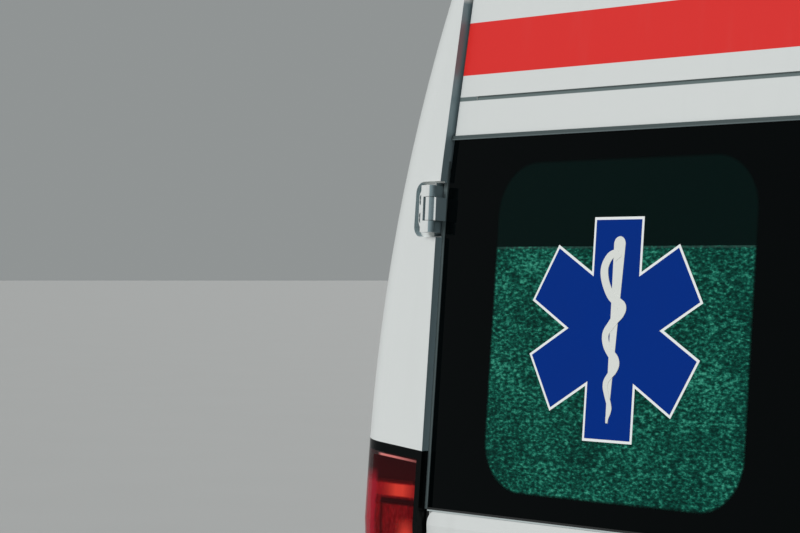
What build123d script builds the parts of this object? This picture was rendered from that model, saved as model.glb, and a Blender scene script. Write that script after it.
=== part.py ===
from build123d import *
import math
import os

# High-roof panel-van ambulance, in millimetres.
# The front looks to -Y, the vehicle's left side is +X, Z is up.
# The origin is on the ground, at the middle of the length.

# Overall sizes
BODY_WIDTH = 2050.0
ROOF_HEIGHT = 2522.0
WHEELBASE = 3450.0
FRONT_OVERHANG = 948.0
REAR_OVERHANG = 1015.0
LENGTH = FRONT_OVERHANG + WHEELBASE + REAR_OVERHANG
FRONT = -LENGTH / 2
REAR = LENGTH / 2
FRONT_TRACK = 1810.0
REAR_TRACK = 1790.0

# Shell
WALL = 50.0
ROOF_WALL = 40.0
SKIRT_BOTTOM = 400.0
FLOOR_TOP = 535.0
FLOOR_THICKNESS = 40.0
ROOF_SEAM = ROOF_HEIGHT - 272.0
SIDE_ARC_START = 1400.0
SIDE_ARC_RADIUS = 2500.0
ROOF_CROWN_RADIUS = 3800.0
ROOF_FALL = 1.2
ROOF_PEAK_Y = FRONT + 1700.0
ROOF_CORNER = 60.0
ROOF_EDGE_Z = ROOF_HEIGHT - 142.0
CAP_EDGE_Z = ROOF_HEIGHT - 222.0
REAR_CORNER = 80.0
WING_EDGE = 60.0
WAIST_Z = 1300.0
REAR_LEAN = 5.0
REAR_TUCK = 25.0
BUMPER_REACH = 61.0

# Nose
SCREEN_ANGLE = 46.0
SCREEN_FOOT_Z = 1330.0
SCREEN_FOOT_BACK = 560.0
SCREEN_PLAN_RADIUS = 2300.0
BONNET_ANGLE = 27.0
BONNET_CROWN_RADIUS = 5200.0
CAP_ANGLE = 50.0
CAP_FOOT_Z = ROOF_HEIGHT - 402.0
CAP_PLAN_RADIUS = 2600.0
NOSE_PLAN_RADIUS = 2300.0
NOSE_CORNER = 420.0
NOSE_FLAT = 40.0
BUMPER_PROUD = 36.0
BUMPER_EDGE = 22.0
INTAKE = (470.0, 320.0, 450.0)
INTAKE_SLOTS = 3
FOG_RECESS = (52.0, 690.0, 400.0, 110.0)
BUMPER_BOTTOM = 240.0
BUMPER_TOP = 740.0
NOSE_TOP = 985.0
GRILLE_HALF = 560.0
GRILLE_BARS = 5
GRILLE_FRAME = 24.0
BAR_SETBACK = 14.0
BONNET_HALF = 780.0
BONNET_REAR = FRONT + 492.5
BONNET_CHANNEL = 64.0
BONNET_AXIS = (BONNET_REAR + 14.0, SCREEN_FOOT_Z - 98.0)
BONNET_HINGE_X = 600.0
BONNET_PIN = 5.0
FIREWALL_Y = (FRONT + 631.5, FRONT + 656.5)
BONNET_GAP = 6.0
LAMP_TOP = 1040.0
LAMP_CLEARANCE = 0.3
LAMP_OUTER = 985.0
LAMP_RISE = 52.0
LAMP_SWEEP = (FRONT + 330.0, FRONT + 560.0)
LAMP_DEPTH = 130.0
FENDER_TOP = 1300.0
SCREEN_BOTTOM = 1380.0
SCREEN_TOP = CAP_FOOT_Z - 50.0
SCREEN_HALF_LOW = 820.0
SCREEN_HALF_HIGH = 740.0

# Rear doors
DOOR_WALL = 50.0
DOOR_SETBACK = 17.0
DOOR_HALF_WIDTH = 829.0
DOOR_BOTTOM = 590.0
DOOR_TOP = ROOF_HEIGHT - 202.0
DOOR_MEETING_GAP = 10.0
DOOR_GAP = 6.0
DOOR_TOP_GAP = 12.0
REAR_APERTURE = 1562.0
PILLAR_DEPTH = 120.0
HINGE_AXIS_X = 843.0
HINGE_LEAN = 3.4
HINGE_WAIST_OFFSET = -6.0
HINGE_BARREL = 9.0
HINGE_PIN = 4.0
PIN_CLEARANCE = 0.08
HINGE_HEIGHT = 84.0
HINGE_KNUCKLE = 20.5
HINGE_BRACKET = 34.0
HINGE_POCKET = 50.0
# Height of each hinge, how deep its leaf goes beside the door, how far its foot reaches
HINGES = ((DOOR_BOTTOM + 190.0, 95.0, 58.0), (DOOR_TOP - 460.0, 62.0, 18.0))

# Glass
GLASS = 5.0
GLASS_CLEARANCE = 0.3
REAR_GLASS_BOTTOM = 1328.0
REAR_GLASS_TOP = DOOR_TOP - 336.0
REAR_PANE = (123.0, 697.0, REAR_GLASS_BOTTOM + 49.0, REAR_GLASS_TOP - 53.0)
PANEL_CORNER = 25.0
PRESS_GROOVE = (REAR_GLASS_TOP + 68.0, 6.0, 3.0)

# Cab doors
CAB_DOOR_FRONT = FRONT + 1106.5
CAB_DOOR_REAR = CAB_DOOR_FRONT + 1120.0
CAB_DOOR_BOTTOM = 450.0
CAB_DOOR_TOP = SCREEN_TOP - 40.0
CAB_DOOR_GAP = 9.0
CAB_DOOR_SKIN = 14.0
CAB_DOOR_STEP = 8.0
HANDLE_Z = 1130.0
HANDLE_LENGTH = 190.0
HANDLE_PROUD = 20.0
RUB_STRIP = (620.0, 700.0, 15.0)
BELT_Z = 1405.0
WINDOW_TOP = CAB_DOOR_TOP - 85.0
MIRROR_REACH = 1254.0

# Side windows and sliding door
SLIDING_DOOR = (CAB_DOOR_REAR + 150.0, CAB_DOOR_REAR + 1400.0, 560.0, CAB_DOOR_TOP + 120.0)
SIDE_WINDOW = (SLIDING_DOOR[0] + 100.0, SLIDING_DOOR[1] - 100.0, BELT_Z, WINDOW_TOP + 15.0)
PANEL_GAP = 6.0
BULKHEAD_WINDOW = (320.0, BELT_Z + 75.0, WINDOW_TOP - 125.0)
SLIDE_RAIL = (1034.0, 1058.0, 14.0)

# Tail lamps, bumper and fittings at the rear
TAIL_BOTTOM = 850.0
TAIL_TOP = 1446.0
TAIL_TOP_INNER = 1430.0
TAIL_SIDE = 110.0
TAIL_DEPTH = 45.0
REAR_BUMPER_BOTTOM = 370.0
REAR_BUMPER_TOP = 575.0
REAR_BUMPER_FRONT = REAR - 406.5
BUMPER_POST_X = 915.0
BUMPER_WALL = 55.0
BUMPER_CLEARANCE = 4.0
PLATE_CENTRE = (375.0, 843.0)
PLATE_SIZE = (520.0, 110.0)
PLATE_RECESS = (60.0, 725.0, 772.0, 972.0)
PLATE_RECESS_DEPTH = 10.0
HANDLE_BOX = (-240.0, -120.0, 1050.0, 1270.0)

# Below the floor
RAIL_X = (490.0, 570.0)
RAIL_Z = (430.0, 495.0)
ARM_Z = (190.0, 220.0)
ENGINE_BOTTOM = 450.0
RAIL_FRONT_GAP = 130.0
RAIL_REAR_GAP = 130.0

# Threaded blocks under the rails, for a guard in front and a tow bar behind
SOCKET_THREAD = 9.0
SOCKET_DEPTH = 45.0
SOCKET_BLOCK = 35.0
SOCKET_BLOCK_CORNER = 10.0
SOCKET_Y = (FRONT + 400.0, REAR - 260.0)

# Wheels
TYRE_RADIUS = 341.0
TYRE_WIDTH = 215.0
RIM_RADIUS = 190.0
RIM_WIDTH = 170.0
SPINDLE = 30.0
ARCH_RADIUS = 430.0
REAR_ARCH_RADIUS = 400.0
KINGPIN_INSET = 160.0
RUNNING_CLEARANCE = 0.06
WELL_INNER = (580.0, 700.0)
WELL_WALL = 8.0

FRONT_AXLE = FRONT + FRONT_OVERHANG
REAR_AXLE = FRONT_AXLE + WHEELBASE
HALF_WIDTH = BODY_WIDTH / 2
WAIST_Y = REAR - BUMPER_REACH
FLOOR_BOTTOM = FLOOR_TOP - FLOOR_THICKNESS
FAR = 4000.0

socket_x = sum(RAIL_X) / 2

parts = {}


def span(x, y, z):
    """Box between the low and high value of each axis."""
    centre = Pos((x[0] + x[1]) / 2, (y[0] + y[1]) / 2, (z[0] + z[1]) / 2)
    return centre * Box(x[1] - x[0], y[1] - y[0], z[1] - z[0])


def outline_face(points, radii=None):
    """Face of a closed outline, with a corner radius for each point if given."""
    if radii is None:
        return make_face(Polyline(*points, close=True))
    return make_face(FilletPolyline(*points, radius=radii, close=True))


def side_prism(points, x, radii=None):
    """Outline of (y, z) points carried along X between two values."""
    return Pos(x[0], 0, 0) * extrude(Plane.YZ * outline_face(points, radii), x[1] - x[0])


def end_prism(points, y, radii=None):
    """Outline of (x, z) points carried along Y between two values."""
    return Pos(0, y[1], 0) * extrude(Plane.XZ * outline_face(points, radii), y[1] - y[0])


def plan_prism(points, z, radii=None):
    """Outline of (x, y) points carried along Z between two values."""
    return Pos(0, 0, z[0]) * extrude(outline_face(points, radii), z[1] - z[0])


def rod_x(radius, x, y, z):
    """Round bar along X."""
    return Pos((x[0] + x[1]) / 2, y, z) * Rot(0, 90, 0) * Cylinder(radius, x[1] - x[0])


def rod_y(radius, x, y, z):
    """Round bar along Y."""
    return Pos(x, (y[0] + y[1]) / 2, z) * Rot(90, 0, 0) * Cylinder(radius, y[1] - y[0])


def rod_z(radius, x, y, z):
    """Round bar along Z."""
    return Pos(x, y, (z[0] + z[1]) / 2) * Cylinder(radius, z[1] - z[0])


def between(start, end, radius):
    """Round bar from one point to another."""
    path = Vector(*end) - Vector(*start)
    return Plane(origin=start, z_dir=path) * Pos(0, 0, path.length / 2) * Cylinder(radius, path.length)


def both(solid):
    """The solid and its mirror on the other side."""
    return solid + mirror(solid, about=Plane.YZ)


def put(name, solid):
    """Keep one node."""
    parts[name] = solid


def rear_y(z, inset=0.0):
    """Y of the rear face at a height."""
    if z > WAIST_Z:
        return WAIST_Y - inset - (z - WAIST_Z) * math.tan(math.radians(REAR_LEAN))
    return WAIST_Y - inset - REAR_TUCK * (WAIST_Z - z) / (WAIST_Z - DOOR_BOTTOM)


def rear_slab(inset, depth, x):
    """Slice that follows the rear face, from an inset to a depth behind it."""
    heights = (0.0, WAIST_Z, ROOF_HEIGHT + 200)
    outer = [(rear_y(z, inset), z) for z in heights]
    inner = [(rear_y(z, inset + depth), z) for z in reversed(heights)]
    return side_prism(outer + inner, x)


def side_x(z):
    """Half width of the body at a height."""
    if z <= SIDE_ARC_START:
        return HALF_WIDTH
    drop = SIDE_ARC_RADIUS - math.sqrt(SIDE_ARC_RADIUS**2 - (z - SIDE_ARC_START) ** 2)
    return HALF_WIDTH - drop


def hull(inset, roof_inset, bottom):
    """Outer form of the body, moved inwards by an inset."""
    half = HALF_WIDTH - inset
    radius = SIDE_ARC_RADIUS - inset
    top = ROOF_HEIGHT + 100
    rise = top - SIDE_ARC_START
    mid = rise / 2
    top_x = half - radius + math.sqrt(radius**2 - rise**2)
    mid_x = half - radius + math.sqrt(radius**2 - mid**2)
    walls = make_face(
        Polyline((top_x, top), (-top_x, top))
        + ThreePointArc((-top_x, top), (-mid_x, SIDE_ARC_START + mid), (-half, SIDE_ARC_START))
        + Polyline((-half, SIDE_ARC_START), (-half, bottom), (half, bottom), (half, SIDE_ARC_START))
        + ThreePointArc((half, SIDE_ARC_START), (mid_x, SIDE_ARC_START + mid), (top_x, top))
    )
    body = Pos(0, REAR, 0) * extrude(Plane.XZ * walls, LENGTH)

    # Roof: a shallow crown that falls a little to the rear
    crown = ROOF_CROWN_RADIUS - roof_inset
    roof = Rot(90 - ROOF_FALL, 0, 0) * Cylinder(crown, 3 * LENGTH)
    roof = Pos(0, ROOF_PEAK_Y, ROOF_HEIGHT - roof_inset - crown) * roof
    body = body & (roof + span((-FAR, FAR), (-FAR, FAR), (0, SIDE_ARC_START + 100)))

    # Rear face: leans forward above the waist and tucks in below it
    heights = (0.0, WAIST_Z, ROOF_HEIGHT + 200)
    back = [(rear_y(z, inset), z) for z in heights]
    body = body & side_prism([(-FAR, 0), *back, (-FAR, ROOF_HEIGHT + 200)], (-FAR, FAR))

    # Windscreen, bonnet and roof cap, each a curved face carried along its own slope
    foot = (FRONT + SCREEN_FOOT_BACK, SCREEN_FOOT_Z)
    screen = slope_block(foot, SCREEN_ANGLE, SCREEN_PLAN_RADIUS, inset)
    cap_foot_y = foot[0] + (CAP_FOOT_Z - SCREEN_FOOT_Z) / math.tan(math.radians(SCREEN_ANGLE))
    cap = slope_block((cap_foot_y, CAP_FOOT_Z), CAP_ANGLE, CAP_PLAN_RADIUS, inset)
    bonnet = bonnet_block(foot, inset)
    return body & (bonnet + (screen & cap)) & nose_block(inset)


def slope_block(foot, angle, plan_radius, inset):
    """All that lies behind a face that rises at an angle and is bowed in plan."""
    slope = math.radians(angle)
    start = foot[0] + inset / math.sin(slope)
    direction = Vector(0, math.cos(slope), math.sin(slope))
    low = -1600.0
    shift = low / math.tan(slope)
    bow = HALF_WIDTH + 200
    sag = plan_radius - math.sqrt(plan_radius**2 - bow**2)
    face = make_face(
        ThreePointArc((-bow, start + sag), (0, start), (bow, start + sag))
        + Polyline((bow, start + sag), (bow, start + 2 * FAR), (-bow, start + 2 * FAR), (-bow, start + sag))
    )
    return Pos(0, shift, foot[1] + low) * extrude(face, FAR / math.sin(slope), dir=direction)


def bonnet_block(foot, inset):
    """All that lies below the crowned bonnet."""
    slope = math.radians(BONNET_ANGLE)
    top = foot[1] - inset / math.cos(slope)
    radius = BONNET_CROWN_RADIUS
    bow = HALF_WIDTH + 200
    sag = radius - math.sqrt(radius**2 - bow**2)
    face = make_face(
        ThreePointArc((-bow, top - sag), (0, top), (bow, top - sag))
        + Polyline((bow, top - sag), (bow, top - FAR), (-bow, top - FAR), (-bow, top - sag))
    )
    reach = 1500.0
    start = Plane.XZ.offset(-foot[0]) * face
    direction = Vector(0, -math.cos(slope), -math.sin(slope))
    return extrude(start, reach, dir=direction) + extrude(start, 300.0, dir=-direction)


def nose_block(inset, side_inset=None):
    """Plan of the whole body: bowed nose, flat in the middle, with round corners and straight sides."""
    front = FRONT + BUMPER_PROUD + inset
    half = HALF_WIDTH - (inset if side_inset is None else side_inset)
    bow = half + 60
    crest = front - NOSE_FLAT
    end = crest + NOSE_PLAN_RADIUS - math.sqrt(NOSE_PLAN_RADIUS**2 - bow**2)
    nose = make_face(
        ThreePointArc((-bow, end), (0, crest), (bow, end))
        + Polyline((bow, end), (bow, FAR), (-bow, FAR), (-bow, end))
    )
    corner = outline_face(
        [(-half, front), (half, front), (half, FAR), (-half, FAR)],
        [NOSE_CORNER, NOSE_CORNER, 1.0, 1.0],
    )
    low = -100
    return Pos(0, 0, low) * extrude(nose & corner, ROOF_HEIGHT + 400)



def door_outline(grow=0.0):
    """Left rear door in the (x, z) plane, grown by a gap."""
    low = DOOR_MEETING_GAP / 2
    points = [
        (low - 4 * grow, DOOR_BOTTOM),
        (DOOR_HALF_WIDTH - 84, DOOR_BOTTOM),
        (DOOR_HALF_WIDTH, DOOR_BOTTOM + 290),
        (DOOR_HALF_WIDTH, DOOR_TOP - 440),
        (DOOR_HALF_WIDTH - 44, DOOR_TOP),
        (low - 4 * grow, DOOR_TOP),
    ]
    face = outline_face(points, [4.0, 60.0, 250.0, 1500.0, 50.0, 4.0])
    if grow:
        face = offset(face, grow)
    return face


def through(face, y):
    """Face drawn in (x, z), carried along Y between two values."""
    return Pos(0, y[1], 0) * extrude(Plane.XZ * face, y[1] - y[0])


def hinge_frame(height):
    """Plane on a rear hinge's axis, its Z along the axis."""
    lean = math.radians(HINGE_LEAN)
    y = WAIST_Y + HINGE_WAIST_OFFSET - (height - WAIST_Z) * math.tan(lean)
    return Plane(origin=(HINGE_AXIS_X, y, height), x_dir=(1, 0, 0), z_dir=(0, -math.sin(lean), math.cos(lean)))


def local_span(frame, x, y, z):
    """Box in a frame of its own."""
    return frame * span(x, y, z)


outer = hull(0.0, 0.0, SKIRT_BOTTOM)
corner_edges = outer.edges().filter_by(
    lambda e: e.center().Y > WAIST_Y - 140 and abs(e.center().X) > 850 and e.length > 300
)
outer = fillet(corner_edges, REAR_CORNER)
roof_edges = outer.edges().filter_by(
    lambda e: e.center().Z > ROOF_EDGE_Z
    and (abs(e.center().X) > 700 or e.center().Y > REAR - 306)
    and e.length > 1000
)
cap_edges = outer.edges().filter_by(lambda e: e.center().Z > CAP_EDGE_Z and e.center().Y < ROOF_PEAK_Y + 106)
outer = fillet(roof_edges + cap_edges, ROOF_CORNER)
wing_edges = outer.edges().filter_by(
    lambda e: NOSE_TOP < e.center().Z < SIDE_ARC_START
    and e.center().Y < FRONT + 800
    and abs(e.center().X) > 880
)
outer = fillet(wing_edges, WING_EDGE)
inner = hull(WALL, ROOF_WALL, SKIRT_BOTTOM - 10)
shell = outer - inner
wheel_axles = {"front": (FRONT_AXLE, ARCH_RADIUS), "rear": (REAR_AXLE, REAR_ARCH_RADIUS)}


def arch(which, grow=0.0):
    """Round wheel arch, right through the vehicle."""
    y, radius = wheel_axles[which]
    return rod_x(radius + grow, (-FAR, FAR), y, TYRE_RADIUS)


# Rear frame: pillars and header round the doors, with a rebate for them
door_void = through(door_outline(DOOR_GAP), (REAR - 600, REAR + 200))
door_void += span((-50, 60), (REAR - 600, REAR + 200), (DOOR_BOTTOM - DOOR_GAP, DOOR_TOP + DOOR_GAP))
door_void += span((-FAR, DOOR_HALF_WIDTH - 60), (REAR - 600, REAR + 200), (DOOR_TOP, DOOR_TOP + DOOR_TOP_GAP))
door_void = door_void & span((-1, FAR), (-FAR, FAR), (0, FAR))
rebate = both(door_void & rear_slab(-200, 200 + DOOR_SETBACK + DOOR_WALL + DOOR_GAP, (-FAR, FAR)))
aperture = span(
    (-REAR_APERTURE / 2, REAR_APERTURE / 2), (REAR - 600, REAR + 200), (0, DOOR_TOP - 50)
)
ring = outer & rear_slab(0, PILLAR_DEPTH, (-FAR, FAR))
ring = ring - rebate - aperture
body = shell - rebate - aperture + ring

# Pockets in the pillars for the hinges
for height, leaf_depth, foot_reach in HINGES:
    frame = hinge_frame(height)
    half = HINGE_HEIGHT / 2
    deep = local_span(frame, (-foot_reach - 6, 10), (-leaf_depth - 8, 60), (-half - 6, half + 6))
    shallow = span((-30, HINGE_POCKET), (-22, 60), (-half - 8, half + 8))
    soft = shallow.edges().filter_by(Axis.Y).filter_by(lambda e: e.center().X > 0)
    shallow = frame * fillet(soft, 20.0)
    body -= both(deep + shallow)

# Tail lamps sit in the pillars and wrap round the corner
side_edge = WAIST_Y - TAIL_SIDE
lamp_side = side_prism(
    [
        (side_edge, TAIL_BOTTOM),
        (REAR + 50, TAIL_BOTTOM),
        (REAR + 50, TAIL_TOP),
        (side_edge, TAIL_TOP),
    ],
    (DOOR_HALF_WIDTH - 20, FAR),
    [12.0, 1.0, 1.0, 70.0],
)
lamp_slant = end_prism(
    [
        (0, 0),
        (FAR, 0),
        (FAR, TAIL_TOP),
        (HALF_WIDTH - 20, TAIL_TOP),
        (DOOR_HALF_WIDTH, TAIL_TOP_INNER),
        (0, TAIL_TOP_INNER),
    ],
    (0, FAR),
)
lamp_core = span((0, HALF_WIDTH - TAIL_DEPTH), (0, WAIST_Y - TAIL_DEPTH - 8), (0, FAR))
lamp_zone = (lamp_side & lamp_slant) - lamp_core - rebate
tail_lamp = outer & lamp_zone
body -= both(lamp_zone)
put("tail_lamps", both(tail_lamp))

# Rear bumper: step across the back, posts at the corners up to the lamps
bumper_plan = [
    (-HALF_WIDTH + 3, REAR_BUMPER_FRONT),
    (HALF_WIDTH - 3, REAR_BUMPER_FRONT),
    (HALF_WIDTH - 3, REAR),
    (-HALF_WIDTH + 3, REAR),
]
post_plan = [(x, y if y < REAR else WAIST_Y + 30) for x, y in bumper_plan]
plan_radii = [4.0, 4.0, 110.0, 110.0]
step = plan_prism(bumper_plan, (REAR_BUMPER_BOTTOM, REAR_BUMPER_TOP), plan_radii)
post = plan_prism(post_plan, (REAR_BUMPER_TOP, TAIL_BOTTOM - BUMPER_CLEARANCE), plan_radii)
post &= both(
    span((BUMPER_POST_X, FAR), (0, FAR), (0, FAR))
    + span((DOOR_HALF_WIDTH + 21, FAR), (0, FAR), (0, REAR_BUMPER_TOP + 120))
)
hollow = span(
    (-HALF_WIDTH + WALL, HALF_WIDTH - WALL),
    (0, REAR - BUMPER_WALL - 40),
    (REAR_BUMPER_BOTTOM - 1, FAR),
)
rear_bumper = step + post - hollow - arch("rear")
put("rear_bumper", rear_bumper)
bumper_zone = both(
    span((BUMPER_POST_X - 4, FAR), (REAR_BUMPER_FRONT - 4, FAR), (0, TAIL_BOTTOM))
    + span((DOOR_HALF_WIDTH + 17, FAR), (REAR_BUMPER_FRONT - 4, FAR), (0, REAR_BUMPER_TOP + 124))
) + span((-FAR, FAR), (REAR_BUMPER_FRONT - 4, FAR), (0, REAR_BUMPER_TOP + 4))
body -= bumper_zone
body -= arch("front") & span((-FAR, FAR), (-FAR, FAR), (0, TYRE_RADIUS + ARCH_RADIUS))
body -= arch("rear")

# Cab doors: outline in the (y, z) plane
pillar_run = 1 / math.tan(math.radians(SCREEN_ANGLE))
door_slant_z = 1569.0
cab_door_top_y = CAB_DOOR_FRONT + (CAB_DOOR_TOP - door_slant_z) * pillar_run
cab_door_points = [
    (CAB_DOOR_FRONT, CAB_DOOR_BOTTOM),
    (CAB_DOOR_REAR, CAB_DOOR_BOTTOM),
    (CAB_DOOR_REAR, CAB_DOOR_TOP),
    (cab_door_top_y, CAB_DOOR_TOP),
    (CAB_DOOR_FRONT, door_slant_z),
]
cab_door_radii = [4.0, 40.0, 60.0, 90.0, 120.0]
cab_door_face = outline_face(cab_door_points, cab_door_radii)


def along_x(face, x):
    """Face drawn in (y, z), carried along X between two values."""
    return Pos(x[0], 0, 0) * extrude(Plane.YZ * face, x[1] - x[0])


cab_void = along_x(offset(cab_door_face, CAB_DOOR_GAP), (-FAR, FAR)) - arch("front", 37.0)
window_points = [
    (CAB_DOOR_FRONT + 60, BELT_Z),
    (CAB_DOOR_REAR - 60, BELT_Z),
    (CAB_DOOR_REAR - 60, WINDOW_TOP),
    (CAB_DOOR_FRONT + 60 + (WINDOW_TOP - 1525) * pillar_run, WINDOW_TOP),
    (CAB_DOOR_FRONT + 60, 1525.0),
]
window_radii = [40.0, 40.0, 40.0, 60.0, 60.0]
window_face = outline_face(window_points, window_radii)
skin_slice = outer - hull(GLASS, GLASS, SKIRT_BOTTOM - 5)
cab_doors = shell & along_x(cab_door_face, (0, FAR))
cab_doors = cab_doors - arch("front", 45.0) - along_x(window_face, (0, FAR))


def pull_handle(y):
    """Pull handle on the left side, from its front end, and the dish behind it."""
    dish = Pos(HALF_WIDTH + 104, y + HANDLE_LENGTH / 2, HANDLE_Z) * Sphere(120)
    bar = span((HALF_WIDTH - 8, HALF_WIDTH + HANDLE_PROUD), (y, y + HANDLE_LENGTH), (HANDLE_Z - 16, HANDLE_Z + 16))
    bar = fillet(bar.edges(), 7.0)
    bar -= span((0, HALF_WIDTH + 6), (y + 34, y + HANDLE_LENGTH - 34), (0, FAR))
    return bar, dish


def rub_strip(y):
    """Strip along the left side between two values of Y."""
    low, high, proud = RUB_STRIP
    strip = span((HALF_WIDTH - 4, HALF_WIDTH + proud), y, (low, high))
    return fillet(strip.faces().sort_by(Axis.X)[-1].edges(), 8.0)


handle, dish = pull_handle(CAB_DOOR_REAR - HANDLE_LENGTH - 60)
cab_doors = cab_doors - dish + handle
cab_doors += rub_strip((FRONT_AXLE + ARCH_RADIUS, CAB_DOOR_REAR - 16))
cab_step = span((0, FAR), (CAB_DOOR_REAR - CAB_DOOR_STEP, FAR), (0, FAR))
cab_doors -= hull(CAB_DOOR_SKIN, CAB_DOOR_SKIN, 0.0) & cab_step
cab_glass = skin_slice & along_x(offset(window_face, -GLASS_CLEARANCE), (0, FAR))
put("cab_door_left", cab_doors)
put("cab_door_right", mirror(cab_doors, about=Plane.YZ))
put("cab_glass_left", cab_glass)
put("cab_glass_right", mirror(cab_glass, about=Plane.YZ))
body -= cab_void

# Sliding door on the right, windows in it and in the left side
y0, y1, z0, z1 = SLIDING_DOOR
slide_face = outline_face([(y0, z0), (y1, z0), (y1, z1), (y0, z1)], [50.0, 50.0, 60.0, 60.0])
w0, w1, v0, v1 = SIDE_WINDOW
side_window_face = outline_face([(w0, v0), (w1, v0), (w1, v1), (w0, v1)], [60.0, 60.0, 60.0, 60.0])
sliding_door = shell & along_x(slide_face, (-FAR, 0))
sliding_door -= along_x(side_window_face, (-FAR, 0))
low_gap = (z0 - PANEL_GAP, z0 + 5)
high_gap = (z1 - 5, z1 + PANEL_GAP)
for y, z in ((y0 + 90, low_gap), (y1 - 90, low_gap), (y1 - 90, high_gap)):
    roller_x = side_x(z[1]) - WALL + 12
    sliding_door += span((-roller_x - 12, -roller_x), (y - 20, y + 20), z)
handle, dish = pull_handle(y0 + 50)
sliding_door = sliding_door - mirror(dish, about=Plane.YZ) + mirror(handle, about=Plane.YZ)
sliding_door += mirror(rub_strip((y0 + 16, y1 - 16)), about=Plane.YZ)
put("sliding_door", sliding_door)
body -= along_x(offset(slide_face, PANEL_GAP), (-FAR, 0))
body -= along_x(side_window_face, (0, FAR))
side_glass = skin_slice & along_x(offset(side_window_face, -GLASS_CLEARANCE), (-FAR, FAR))
put("side_glass", side_glass)

# Windscreen and its opening
screen_points = [
    (-SCREEN_HALF_LOW, SCREEN_BOTTOM),
    (SCREEN_HALF_LOW, SCREEN_BOTTOM),
    (SCREEN_HALF_HIGH, SCREEN_TOP),
    (-SCREEN_HALF_HIGH, SCREEN_TOP),
]
screen_face = outline_face(screen_points, [50.0, 50.0, 70.0, 70.0])
screen_y = (FRONT, FRONT + 1700)
body -= through(screen_face, screen_y)
put("windscreen", skin_slice & through(offset(screen_face, -GLASS_CLEARANCE), screen_y))

# Nose: bonnet, grille, headlamps, wings
lamp_face = outline_face(
    [
        (GRILLE_HALF, BUMPER_TOP),
        (BONNET_HALF + BONNET_GAP, BUMPER_TOP),
        (LAMP_OUTER, BUMPER_TOP + LAMP_RISE),
        (LAMP_OUTER, LAMP_TOP),
        (GRILLE_HALF + 40, LAMP_TOP - 30),
    ],
    [30.0, 60.0, 50.0, 30.0, 60.0],
)


def lamp_space(grow=0.0):
    """Room of the left headlamp, swept back at the side, grown by a gap."""
    low, high = LAMP_SWEEP
    sweep_points = [
        (-FAR, BUMPER_TOP - 100),
        (low + grow, BUMPER_TOP - 100),
        (low + grow, BUMPER_TOP),
        (high + grow, LAMP_TOP),
        (high + grow, LAMP_TOP + 100),
        (-FAR, LAMP_TOP + 100),
    ]
    face = offset(lamp_face, grow) if grow else lamp_face
    return through(face, (-FAR, FRONT_AXLE)) & side_prism(sweep_points, (0, FAR))


put("headlamps", both((outer - nose_block(LAMP_DEPTH)) & lamp_space()))
lamp_gap = both(lamp_space(LAMP_CLEARANCE))
bonnet_lamp_gap = both(lamp_space(BONNET_GAP))
nose = body & span((-FAR, FAR), (-FAR, CAB_DOOR_FRONT), (SKIRT_BOTTOM, FENDER_TOP))
nose = nose - lamp_gap
bonnet_zone = span((-BONNET_HALF, BONNET_HALF), (-FAR, BONNET_REAR), (NOSE_TOP, FAR))
bonnet = (shell - bonnet_lamp_gap) & bonnet_zone
axis_y, axis_z = BONNET_AXIS
lug = span((BONNET_HINGE_X - 10, BONNET_HINGE_X + 10), (BONNET_REAR - 12, axis_y + 11), (axis_z - 11, axis_z + 11))
lug -= rod_x(BONNET_PIN + PIN_CLEARANCE, (BONNET_HINGE_X - 30, BONNET_HINGE_X + 30), axis_y, axis_z)
put("bonnet", bonnet + both(lug))
bonnet_pin = rod_x(BONNET_PIN, (BONNET_HINGE_X - 26, BONNET_HINGE_X + 26), axis_y, axis_z)
for low, high in ((-26, -12), (12, 26)):
    ear = (BONNET_HINGE_X + low, BONNET_HINGE_X + high)
    bonnet_pin += span(ear, (axis_y - 7, BONNET_REAR + BONNET_CHANNEL), (axis_z - 10, axis_z + 7))
bonnet_clear = span(
    (-BONNET_HALF - BONNET_GAP, BONNET_HALF + BONNET_GAP),
    (-FAR, BONNET_REAR + BONNET_CHANNEL),
    (NOSE_TOP - BONNET_GAP, FAR),
)
front_zone = span((-FAR, FAR), (-FAR, FRONT_AXLE), (0, BUMPER_TOP + 4))
wing_tail = body & arch("front", 37.0) & span((-FAR, FAR), (CAB_DOOR_FRONT - 20, FAR), (0, FENDER_TOP))
wings = (nose - bonnet_clear - front_zone) & both(span((BONNET_HALF + BONNET_GAP, FAR), (-FAR, FAR), (0, FAR)))
wings = wings + wing_tail
left_half = span((0, FAR), (-FAR, FAR), (-FAR, FAR))
right_half = span((-FAR, 0), (-FAR, FAR), (-FAR, FAR))
put("wing_left", wings & left_half)
put("wing_right", wings & right_half)

grille_zone = span(
    (-GRILLE_HALF + 6, GRILLE_HALF - 6), (-FAR, FRONT + 400), (BUMPER_TOP, NOSE_TOP - BONNET_GAP)
)
grille = (outer - nose_block(WALL)) & grille_zone
grille_low = BUMPER_TOP
grille_high = NOSE_TOP - BONNET_GAP
pitch = (grille_high - grille_low) / GRILLE_BARS
for bar in range(GRILLE_BARS):
    low = grille_low + bar * pitch + 0.3 * pitch
    grille -= span((-GRILLE_HALF + 40, GRILLE_HALF - 40), (-FAR, FAR), (low, low + 0.5 * pitch))
grille_front = span(
    (GRILLE_FRAME + 6 - GRILLE_HALF, GRILLE_HALF - 6 - GRILLE_FRAME),
    (-FAR, FAR),
    (grille_low + GRILLE_FRAME, grille_high - GRILLE_FRAME),
)
grille -= grille_front - nose_block(BAR_SETBACK)
put("front_grille", grille)

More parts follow.
